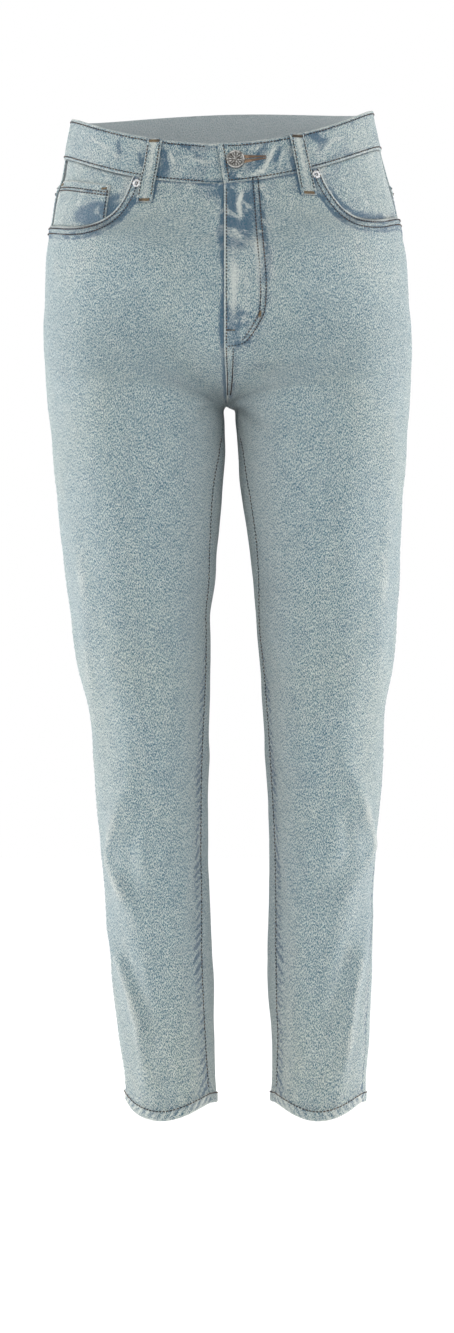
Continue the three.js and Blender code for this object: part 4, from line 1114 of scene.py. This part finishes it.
def back_panel(side):
    piece, vs, v, run = leg_panel(side, back_place, BACK_ROWS, 300)
    d_in, d_side, d_top = piece.away("in"), piece.away("side"), piece.away("top")
    d_hem = piece.away("low", 30.0)
    hem, hem_shade, hem_light = hem_relief(piece, d_hem)
    high = crest(piece)
    relief = hem + uneven(piece) + groove(d_side) + groove(d_top, 0.4) + groove(d_in, 0.5) + 0.6 * high
    relief += seam_pucker(d_side, run, 23, 5, 0.25) + seam_pucker(d_in, run, 24, 5, 0.3)
    # On the crests of the folds the pale is a painted highlight, and the cloth also wore pale there.
    pale = hem_light + 0.4 * high + 0.35 * bell(d_side, 6, 2.5) * (v < -300)
    # Painted shadow round the belt loops and just under the yoke seam.
    deep = 0.9 * hem_shade + 0.7 * loop_shadows(piece)
    deep += 0.6 * bell(d_top, 0, 2.2) + 0.6 * bell(d_side, 0, 1.6)
    deep += 0.6 * ticks(d_side, run, 34, 2.4, 2.2) + 0.6 * ticks(d_in, run, 36) * smooth(-420, -640, v)
    deep += 0.5 * bell(d_in, 0, 1.2)
    wash = 0.5 * (1 - smooth(9, 16, d_hem)) + 0.4 * bell(d_top, 0, 8) + 0.3 * bell(d_in, 0, 7)
    if side == LEFT:
        lap = (1 - smooth(8.6, 9.8, d_in)) * (v > CROTCH_Z)
        relief += 0.7 * lap
        pale += 0.6 * bell(d_in, 0.8, 1.1) * (v > CROTCH_Z) + 0.4 * bell(d_in, 9, 1.2) * lap
    make_leg(piece, f"Back_{WORD[side]}", v, relief, pale, deep, wash, (0.36, 0.88), 0.228)
    sew("back", piece.seam(d_hem, 9.2, down=True))
    if side == LEFT:
        for away in (2.0, 7.4):
            sew("back", piece.seam(along_lines(piece.face), away, np.where(vs > CROTCH_Z + 1)[0]))


def yoke(side):
    ups = np.concatenate([
        [0, 0.01, 0.025, 0.05, 0.09, 0.14, 0.17, 0.2], np.linspace(0.25, 0.94, 12), [0.97, 1.0],
    ])
    piece = Piece(side, *panel_grid(yoke_place, side, ups, PLAIN_EDGE, 240))
    d_low, d_top, d_side = piece.away("low"), piece.away("top"), piece.away("side")
    relief = uneven(piece) + 0.75 * (1 - smooth(8.8, 9.8, d_low)) - 0.5 * bell(d_low, 0, 0.8)
    relief += groove(d_top, 0.4) + groove(d_side) + seam_pucker(d_low, along_lines(piece.face), 25, 5, 0.25)
    pale = 0.7 * bell(d_low, 1, 1.3) + 0.4 * bell(d_low, 9, 1.2)
    # Painted shadow just under the waistband, beside the raised seam band at the lower edge, and round the
    # belt loops.
    deep = 0.4 * bell(d_top, 0, 2.2) + 0.35 * bell(d_low, 11, 1.5) + 0.7 * loop_shadows(piece)
    wash = 0.5 * bell(d_top, 0, 9) + 0.4 * bell(d_low, 0, 10)
    piece.make(f"Yoke_{WORD[side]}", relief, CLOTH, wear_and_painted_light(pale, deep, wash), (0.23, 0.07), 0.0118)
    for away in (2.0, 7.4):
        sew("back", piece.seam(d_low, away, down=True))


# The waistband runs from its buttonhole end, round by the left, back and right, to the end underneath.
OVERLAP, UNDERLAP, UNDER_DEPTH = 0.0135, 0.115, 3.2
BAND_LENGTH = 830
# How far under the top edge and above the lower edge the waistband is stitched.
BAND_STITCH_TOP, BAND_STITCH_LOW = 3.0, 2.4


def waistband():
    ups = np.concatenate([
        [0, 0.012, 0.03, 0.06], np.linspace(0.095, 0.875, 19), [0.9, 0.925, 0.95, 0.97, 0.985, 1],
    ])
    qs = np.concatenate([
        [0.0, 0.0015, 0.004, 0.008, 0.012], np.arange(0.016, 0.3, 0.0036), np.arange(0.3, 1.7, 0.0078),
        np.arange(1.7, 1.93, 0.0036), np.linspace(1.932, 2 + UNDERLAP, 30),
    ])
    up, q = np.meshgrid(ups, qs, indexing="ij")
    q = np.where(q < 0.02, lerp(-OVERLAP * up, 0.02, q / 0.02), q)
    side = np.where((q > 1) & (q <= 2), RIGHT, LEFT)
    share = np.where(q <= 1, q, np.abs(2 - q))

    def height(which, s, u):
        return waist_top(which, s) - band_height(which, s) * (1 - u)

    z = by_side(side, height, np.abs(share), up)
    piece = Piece(side, share, z, WAISTBAND_PROUD - UNDER_DEPTH * smooth(1.93, 1.975, q))
    run = along_lines(piece.face)
    d_top, d_low, d_end = (1 - up) * WAISTBAND_HEIGHT, up * WAISTBAND_HEIGHT, np.minimum(run, 20)
    crumple = wobble(0.9 * run + 1.3 * z, 2.4 * z - 0.5 * run, 44, 30)
    crossing = wobble(run - z, 2.2 * z + 0.4 * run, 47, 34)
    crease = bell(crumple, 0, 0.16) + 0.7 * bell(crossing, 0, 0.13)
    crease *= smooth(-0.5, 0.3, wobble(run, z, 50, 40))
    near = bell(np.minimum(run, BAND_LENGTH - run), 0, 120)
    relief = 0.35 * wobble(run, z, 41, 46) * smooth(0, 5, d_top) * smooth(0, 5, d_low)
    relief -= 0.55 * bell(d_top, 0, 0.9) + 0.45 * bell(d_low, 0, 0.9) + 0.5 * bell(d_end, 0, 0.9)
    relief += seam_pucker(d_top, run, 42, 3.0, 0.18) + seam_pucker(d_low, run, 43, 3.0, 0.22)
    relief -= 0.22 * bell(d_top, BAND_STITCH_TOP, 0.9) + 0.22 * bell(d_low, BAND_STITCH_LOW, 0.9)
    relief += 0.5 * crease * near * smooth(4, 9, d_top) * smooth(3, 8, d_low)
    pale = 0.8 * bell(d_top, 0, 1.6) + 0.6 * bell(d_low, 0, 1.3) + 0.6 * bell(d_end, 0, 1.6)
    pale += (0.4 * crease * near + strokes(piece, BAND_PALE)) * smooth(3.6, 6, d_top) * smooth(3, 5, d_low)
    patch = np.clip(wobble(run, z * 1.6, 45, 44) - 0.2, 0, 1)
    deep = 0.1 * near + 0.5 * patch * (0.4 + 0.6 * near) * smooth(2.5, 7, d_top) + strokes(piece, BAND_DEEP)
    # Darker along the stitch rows at the top, the lower edge and the buttonhole end: painted shade round the
    # stitches, with indigo left there.
    deep += 0.7 * bell(d_top, 3.2, 1.0) + 0.7 * bell(d_low, 2.4, 1.0) + 0.5 * bell(run, 5.4, 1.2)
    deep += 0.4 * ticks(d_top, run, 46, 4.6, 2.2) + 0.35 * ticks(d_low, run, 48, 4.0, 2.2)
    # Painted shadow round the belt loops.
    deep += 0.75 * loop_shadows(piece)
    wash = 0.45 + 0.15 * near + 0.3 * wobble(run, z, 49, 120)
    piece.make("Waistband", relief, WAISTBAND_WALL, wear_and_painted_light(pale, deep, wash), (0.83, 0.038), None)
    # Stitches along both edges and down the buttonhole end.
    top_row, low_row = 1 - BAND_STITCH_TOP / WAISTBAND_HEIGHT, BAND_STITCH_LOW / WAISTBAND_HEIGHT
    for level, low in ((top_row, 0.006), (low_row, 0.010)):
        k = np.searchsorted(ups, level) - 1
        t = (level - ups[k]) / (ups[k + 1] - ups[k])
        keep = (q[k] > low) & (q[k] < 1.965)
        sew("band", ahead_of(*[lerp(grid[k], grid[k + 1], t)[keep] for grid in (piece.outer, piece.normal)]))
    sew("band", piece.seam(run, 5.4, range(2, len(ups) - 2)))


FACING_DEPTH = {RIGHT: 3.3, LEFT: 1.75}
# The indigo corner of each facing: its share, height, width, size upwards and amount.
FACING_CORNER = {RIGHT: (0.235, -78, 22, 14, 1.9), LEFT: (0.245, -89, 22, 9, 1.1)}


def facing(side):
    up, a = np.meshgrid(np.linspace(0, 1, 34), np.linspace(0, 1, 58), indexing="ij")
    share = lerp(0.14, 0.497, a)
    z = lerp(lerp(-112, -99, a), waist_seam(side, share), up)
    piece = Piece(side, share, z, -FACING_DEPTH[side])
    edge = mouth_place(side, np.linspace(0, 1, 120))
    d_mouth = away_from(piece.face, skin(side, *edge) - outward(side, *edge) * FACING_DEPTH[side], 40.0)
    d_top = piece.away("top")
    relief = 0.3 * wobble(share * ROUND, z, 51 + side, 40) * smooth(0, 6, d_top) * smooth(0.497, 0.47, share)
    *corner, amount = FACING_CORNER[side]
    deep = amount * blot(share, z, *corner) + 0.5 * bell(d_top, 0, 2)
    deep += (0.6 + 0.8 * smooth(0.34, 0.2, share)) * bell(d_mouth, 0, 6)
    deep += 0.5 * np.clip(wobble(share * ROUND, z, 71 + side, 26), 0, 1) * smooth(-50, -80, z)
    wash = 0.6 * bell(d_mouth, 0, 14) + 0.5 * bell(d_top, 0, 8) + 0.3
    looks = wear_and_painted_light(0.3 * smooth(0.3, 0.45, share), deep, wash)
    piece.make(f"Pocket_Facing_{WORD[side]}", relief, 1.05, looks, (0.15, 0.09), 0.0102)


def coin_pocket():
    up, a = np.meshgrid(np.linspace(0, 1, 30), np.linspace(0, 1, 40), indexing="ij")
    share = lerp(0.225, 0.44, a)
    top = waist_seam(RIGHT, share) - lerp(12, 20.5, a)
    z = lerp(lerp(-112, -84, (share - 0.14) / 0.357) - 12, top, up)
    piece = Piece(RIGHT, share, z, -1.6)
    d_top, d_in = piece.away("top"), piece.away("in")
    relief = -0.35 * bell(d_top, 0, 0.8) - 0.35 * bell(d_in, 0, 0.8)
    relief += 0.2 * bell(d_top, 6, 3) * np.sin(2 * np.pi * share * ROUND / 8)
    pale = 0.9 * bell(d_top, 0, 1.8) + 0.8 * bell(d_in, 0, 1.5) + 0.3 * smooth(0.32, 0.42, share)
    deep = 1.7 * blot(share, z, 0.265, -80, 24, 11) + 0.6 * bell(d_top, 8.6, 1.6) + 0.4 * bell(d_in, 2.2, 0.9)
    deep += 0.4 * bell(d_top, 6.5, 2.5) * (wobble(share * ROUND, z, 61, 16) > 0)
    piece.make("Coin_Pocket", relief, 1.05, wear_and_painted_light(pale, deep, 0.55), (0.09, 0.07), 0.0056, pull=0.1)
    for away in (7.2, 10.2):
        sew("pockets", piece.seam(d_top, away, down=True, back=True))
    sew("pockets", piece.seam(along_lines(piece.face), 2.0, range(2, 28)))
    for s, drop in ((0.238, 16.5), (0.425, 23.5)):
        bartack_at(RIGHT, s, float(waist_seam(RIGHT, s)) - drop, -1.6, 5.5, 2.6)


BACK_POCKET = {"middle": 0.765, "top": 136, "bottom": 118, "drop": 28, "side": -204, "point": -222}


def back_pocket(side):
    edge = [0, 0.01, 0.022, 0.04]
    lines = np.concatenate([edge, np.linspace(0.062, 0.938, 38), 1 - np.array(edge[::-1])])
    up, a = np.meshgrid(lines, lines, indexing="ij")
    width = lerp(BACK_POCKET["bottom"], BACK_POCKET["top"], up)
    share = BACK_POCKET["middle"] + (0.5 - a) * width / BACK_ROUND
    bottom = lerp(BACK_POCKET["point"], BACK_POCKET["side"], np.abs(2 * a - 1))
    z = lerp(bottom, yoke_seam(share) - BACK_POCKET["drop"], up)
    piece = Piece(side, share, z, 2.0)
    d_top = piece.away("top")
    d_rim = np.minimum(np.minimum(piece.away("in"), piece.away("side")), piece.away("low"))
    relief = uneven(piece) - 0.5 * bell(d_rim, 0, 0.9) - 0.5 * bell(d_rim, 0, 2.2)
    relief += 0.35 * (1 - smooth(12, 13.2, d_top)) - 0.5 * bell(d_top, 0, 0.9)
    pale = 0.85 * bell(d_rim, 0, 1.6) + 0.8 * bell(d_top, 0, 1.6)
    deep = 0.45 * bell(d_rim, 4.8, 1.8) * (wobble(share * ROUND, z, 71, 20) > -0.2)
    # Painted shadow just below the pocket's raised top hem.
    deep += 0.4 * bell(d_top, 13.6, 1.4)
    wash = 0.55 * bell(d_rim, 0, 7) + 0.4 * bell(d_top, 0, 12)
    piece.make(f"Back_Pocket_{WORD[side]}", relief, 1.4, wear_and_painted_light(pale, deep, wash), (0.136, 0.15), 0.0172)
    for away in (1.8, 7.4):
        rim_rows(piece, away)
    sew("back", piece.seam(d_top, 11.4, down=True, back=True))
    for s in (float(share[-1, 3]), float(share[-1, -4])):
        bartack_at(side, s, float(yoke_seam(s)) - BACK_POCKET["drop"] - 3.5, 2.6, 8.0, 1.8)


def rim_rows(piece, away):
    """Stitch rows at one distance inside the two sides and the pointed bottom of a back pocket."""
    run = along_lines(piece.face)
    low, low_normals = piece.seam(piece.away("low"), away, down=True)
    corners = []
    for field, back, end in ((run, False, low[0]), (run[:, -1:] - run, True, low[-1])):
        path, normals = piece.crossing(field, away, back=back)
        keep = path[:, 2] > end[2] - 0.5
        sew("back", ahead_of(path[keep], normals[keep]))
        corners.append(int(np.linalg.norm(low - path[keep][0], axis=1).argmin()))
    first, last = sorted(corners)
    sew("back", (low[first:last + 1], low_normals[first:last + 1]))


def belt_loop(name, side, share, lean):
    ts = np.concatenate([[0, 0.012, 0.03, 0.06], np.linspace(0.1, 0.93, 30), [0.96, 0.98, 1.0]])
    half = [1.1, 2.2, 3.1, 3.9, 4.6, 5.2, 5.55, 5.75]
    widths = np.array([*[-w for w in half[::-1]], 0, *half])
    t, w = np.meshgrid(ts, widths, indexing="ij")
    bottom = float(waist_seam(side, share)) - LOOP_BELOW
    z = lerp(bottom, float(waist_top(side, share)) - 0.5, t)
    piece = Piece(side, share + lean * (1 - t) + w / WAIST_ROUND, z, read(LOOP_RISE, "lift", t, "t"))
    out = np.abs(w)
    relief = 0.22 * bell(out, 4.3, 1.3) - 0.55 * smooth(5.1, 5.75, out)
    relief += 0.25 * (bell(t, 0.04, 0.05) + bell(t, 0.96, 0.05))
    relief += 0.1 * np.sin(2 * np.pi * t * LOOP_LENGTH / 5.2) * (out > 2.6)
    pale = 0.5 * bell(out, 5.4, 0.5) + 0.75 * bell(w, 0, 2.9)
    deep = 0.55 * bell(out, 4.2, 0.6) + 0.25 * (wobble(t * LOOP_LENGTH, w, 81, 14) > 0.4)
    deep += 0.6 * smooth(0.93, 1.0, t) + 0.5 * smooth(0.08, 0.0, t)
    piece.make(f"Belt_Loop_{name}", relief, 1.4, wear_and_painted_light(pale, deep, 0.25), (0.0115, 0.062), None, pull=0.02)
    for level in (-4.3, 4.3):
        j = int(np.argmin(np.abs(widths - level)))
        sew("band", ahead_of(piece.outer[4:-4, j], piece.normal[4:-4, j]), length=2.4)
    for level in (0.035, 0.955):
        i = int(np.argmin(np.abs(ts - level)))
        bartack(piece.outer[i, 8], piece.normal[i, 8], piece.outer[i, 12] - piece.outer[i, 4], 9.8, 3.4)


def fly_shield():
    up, a = np.meshgrid(np.linspace(0, 1, 46), np.linspace(0, 1, 16), indexing="ij")
    share = lerp(-0.012, 0.085, a)
    piece = Piece(LEFT, share, lerp(-186 + 26 * a * a, waist_seam(LEFT, np.abs(share)) - 1, up), -2.5)
    piece.make("Fly_Shield", np.zeros(share.shape), CLOTH, {"deep": 0.5}, (0.045, 0.15), 0.0062)


def fly_rows():
    """The fly's curved double row, its edge and the double row below it."""
    z = np.linspace(-50, -205.2, 120)
    for inset, lowest in ((0.0, -206), (4.2, -200.5)):
        keep = z > lowest
        share = np.maximum(read(FLY, "share", z) - inset / ROUND, 0.006)
        sew("front", surface_row(LEFT, share[keep], z[keep], 0.85), length=2.3)
    for away, top, bottom, length in ((1.9, -60, -203, 2.3), (1.9, -206, -246, 2.2), (7.2, -206, -246, 2.2)):
        sew("front", surface_row(LEFT, [away / ROUND] * 2, [top, bottom], 0.75), length=length)
    bartack_at(LEFT, 0.0114, -190.9, 0.9, 7.5, 2.0)
    bartack_at(LEFT, 0.062, -176.0, 0.9, 2.0, 7.0)


for side in (RIGHT, LEFT):
    for build in (front_panel, back_panel, yoke, facing, back_pocket):
        build(side)
waistband()
coin_pocket()
fly_shield()
fly_rows()
for loop in LOOPS:
    belt_loop(*loop)
for name, where, thread in (
    ("Stitching_Front", "front", THREAD), ("Stitching_Back", "back", THREAD),
    ("Stitching_Waistband", "band", THREAD),
    ("Stitching_Coin_Pocket", "pockets", THREAD), ("Bartacks", "tacks", TACK),
):
    sewing(name, where, thread)


def turned(name, material, profile, sides, place, way, hollow_below, hollow_within, bump=None):
    """A round part turned about an axis: pairs of radius and height, placed with its axis along way."""
    across = np.cross(way, (0, 0, 1.0))
    across /= np.linalg.norm(across)
    up = np.cross(across, way)
    angle = np.arange(sides) * 2 * np.pi / sides
    widest = max(r for r, _ in profile)
    rings, painted_shadows = [], []
    for r, h in profile:
        rise = h + (bump(r, angle) if bump else 0 * angle)
        # Painted shadow in the part's hollows, lower than hollow_below within hollow_within, and along its
        # outer rim.
        shadowed = np.clip((hollow_below - rise) * 2.2, 0, 1) * (r < hollow_within)
        painted_shadows.append(np.maximum(shadowed, float(r > 0.96 * widest)))
        flat = np.outer(np.cos(angle) * r, across) + np.outer(np.sin(angle) * r, up)
        rings.append(place + flat + np.outer(rise, way))
    m = np.arange(sides)
    n = (m + 1) % sides
    wall = np.stack([m, sides + m, sides + n, n], axis=1)
    i = np.arange(sides // 2 - 1)
    disc = np.stack([i, i + 1, sides - 2 - i, sides - 1 - i], axis=1)
    last = (len(profile) - 1) * sides
    faces = [*[wall + start for start in range(0, last, sides)], disc, disc[:, ::-1] + last]
    masks = {"hollow": np.concatenate(painted_shadows)}
    obj = make_mesh(name, np.concatenate(rings), np.concatenate(faces), material, masks=masks)
    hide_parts(name.lower().replace("jeans_", ""))


def button_bump(r, angle):
    """A rosette of leaves in a ring of beads."""
    leaf = 0.34 * np.sin(angle * 14) * bell(r, 4.8, 1.0)
    inner = 0.3 * np.sin(angle * 6 + 0.5) * bell(r, 2.4, 0.8)
    return leaf + inner + 0.2 * np.maximum(np.sin(angle * 32), 0) * bell(r, 6.7, 0.35)


BUTTON_PROFILE = [
    (0.01, -1.9), (2.4, -1.9), (2.6, -1.7), (2.6, 0.3), (6.0, 0.45), (7.6, 0.9), (8.4, 1.5), (8.65, 2.1),
    (8.6, 2.6), (8.3, 3.0), (7.8, 3.15), (7.3, 3.0), (7.0, 2.55), (6.6, 2.4), (6.0, 2.5), (5.4, 2.55),
    (4.8, 2.6), (4.2, 2.55), (3.7, 2.45), (3.2, 2.5), (2.7, 2.6), (2.2, 2.62), (1.7, 2.55), (1.1, 2.65),
    (0.5, 2.8), (0.01, 2.85),
]
BUTTON_SHARE, BUTTON_DROP = 0.0219, 16.6
button_z = float(waist_top(LEFT, BUTTON_SHARE)) - BUTTON_DROP
spot = np.array([BUTTON_SHARE]), np.array([button_z])
way = outward(LEFT, *spot)[0]
place = skin(LEFT, *spot)[0] + way * 0.6
turned("Jeans_Button", BUTTON_METAL, BUTTON_PROFILE, 96, place, way, 2.75, 7.6, button_bump)

RIVET = {RIGHT: 0.1648, LEFT: 0.1779}
RIVET_PROFILE = [
    (0.01, 0), (4.0, 0), (4.15, 0.25), (4.05, 0.55), (3.6, 0.95), (3.0, 1.15), (2.3, 1.15), (1.8, 1.0),
    (1.45, 0.6), (1.3, 0.35), (1.0, 0.3), (0.8, 0.55), (0.5, 0.72), (0.01, 0.75),
]
for side in (RIGHT, LEFT):
    s = np.array([RIVET[side]])
    z = waist_seam(side, s) - 6.2
    way = outward(side, s, z)[0]
    place = skin(side, s, z)[0] + way * 0.3
    turned(f"Rivet_{WORD[side]}", RIVET_METAL, RIVET_PROFILE, 40, place, way, 0.85, 1.9)

# The buttonhole's thread: close stitches round a slit that tapers away from the button.
TILT = math.radians(6.4)
for k in range(46):
    along = 4.0 + 21.5 * k / 45
    half = lerp(4.6, 1.5, (k / 45) ** 0.8)
    x = BUTTON_SHARE + along * math.cos(TILT) / ROUND
    h = button_z + along * math.sin(TILT)
    for up in (-1, 1):
        row = surface_row(LEFT, [x, x + 0.0002], [h + up * 0.35, h + up * half], WAISTBAND_PROUD + 0.3)
        sew("hole", row, length=max(half - 0.5, 0.6), gap=0.0, radius=0.33, lift=0.15)

sewing("Buttonhole", "hole", HOLE_THREAD)

# Stage, light and camera
FLOOR_Z, FLOOR_HALF = -1.13, 9
floor_paper = Nodes("Floor", {
    "Base Color": (0.93, 0.93, 0.93, 1), "Roughness": 1.0, "Specular IOR Level": 0.0,
    "Emission Color": (1, 1, 1, 1), "Emission Strength": 0.12,
})
mesh = bpy.data.meshes.new("Floor")
corners = [(x * FLOOR_HALF, y * FLOOR_HALF, FLOOR_Z) for x, y in ((-1, -1), (1, -1), (1, 1), (-1, 1))]
mesh.from_pydata(corners, [], [(0, 1, 2, 3)])
mesh.materials.append(floor_paper.material)
obj = bpy.data.objects.new("Floor", mesh)
bpy.context.scene.collection.objects.link(obj)
obj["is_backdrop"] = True

world = bpy.data.worlds.new("Studio")
bpy.context.scene.world = world
world.use_nodes = True
world.node_tree.nodes["Background"].inputs["Color"].default_value = (1, 1, 1, 1)
world.node_tree.nodes["Background"].inputs["Strength"].default_value = 1.0


def area_light(name, place, aim, width, height, power, colour=(1, 1, 1)):
    data = bpy.data.lights.new(name, "AREA")
    data.shape = "RECTANGLE"
    data.size, data.size_y = width, height
    data.energy = power
    data.color = colour
    light = bpy.data.objects.new(name, data)
    light.location = place
    light.rotation_euler = (Vector(aim) - Vector(place)).to_track_quat("-Z", "Y").to_euler()
    bpy.context.scene.collection.objects.link(light)


for side in (RIGHT, LEFT):
    place, aim = (2.4 * side, 0.7, -0.5), (0.1 * side, 0, -0.5)
    area_light(f"Side_Light_{WORD[side]}", place, aim, 1.2, 2.4, 79, (1.0, 0.95, 0.93))
area_light("Front_Light", (-0.6, -3.4, 1.6), (0, 0, -0.4), 1.6, 1.2, 14)

camera_data = bpy.data.cameras.new("Camera")
camera = bpy.data.objects.new("Camera", camera_data)
bpy.context.scene.collection.objects.link(camera)
CAMERA_DISTANCE = 3.7
FRAME_HEIGHT = 1333 * 0.95 * MM
camera_data.sensor_fit = "VERTICAL"
camera_data.angle = 2 * math.atan(FRAME_HEIGHT / 2 / CAMERA_DISTANCE)
camera.location = (2.85 * MM, -CAMERA_DISTANCE, -501.6 * MM)
camera.rotation_euler = (math.pi / 2, 0, 0)
bpy.context.scene.camera = camera
bpy.context.scene.view_settings.view_transform = "Standard"
bpy.context.scene.view_settings.look = "None"

as_lists = lambda box: [list(map(float, corner)) for corner in box]
{"cad": as_lists(cad_box), "visual": as_lists(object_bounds())}
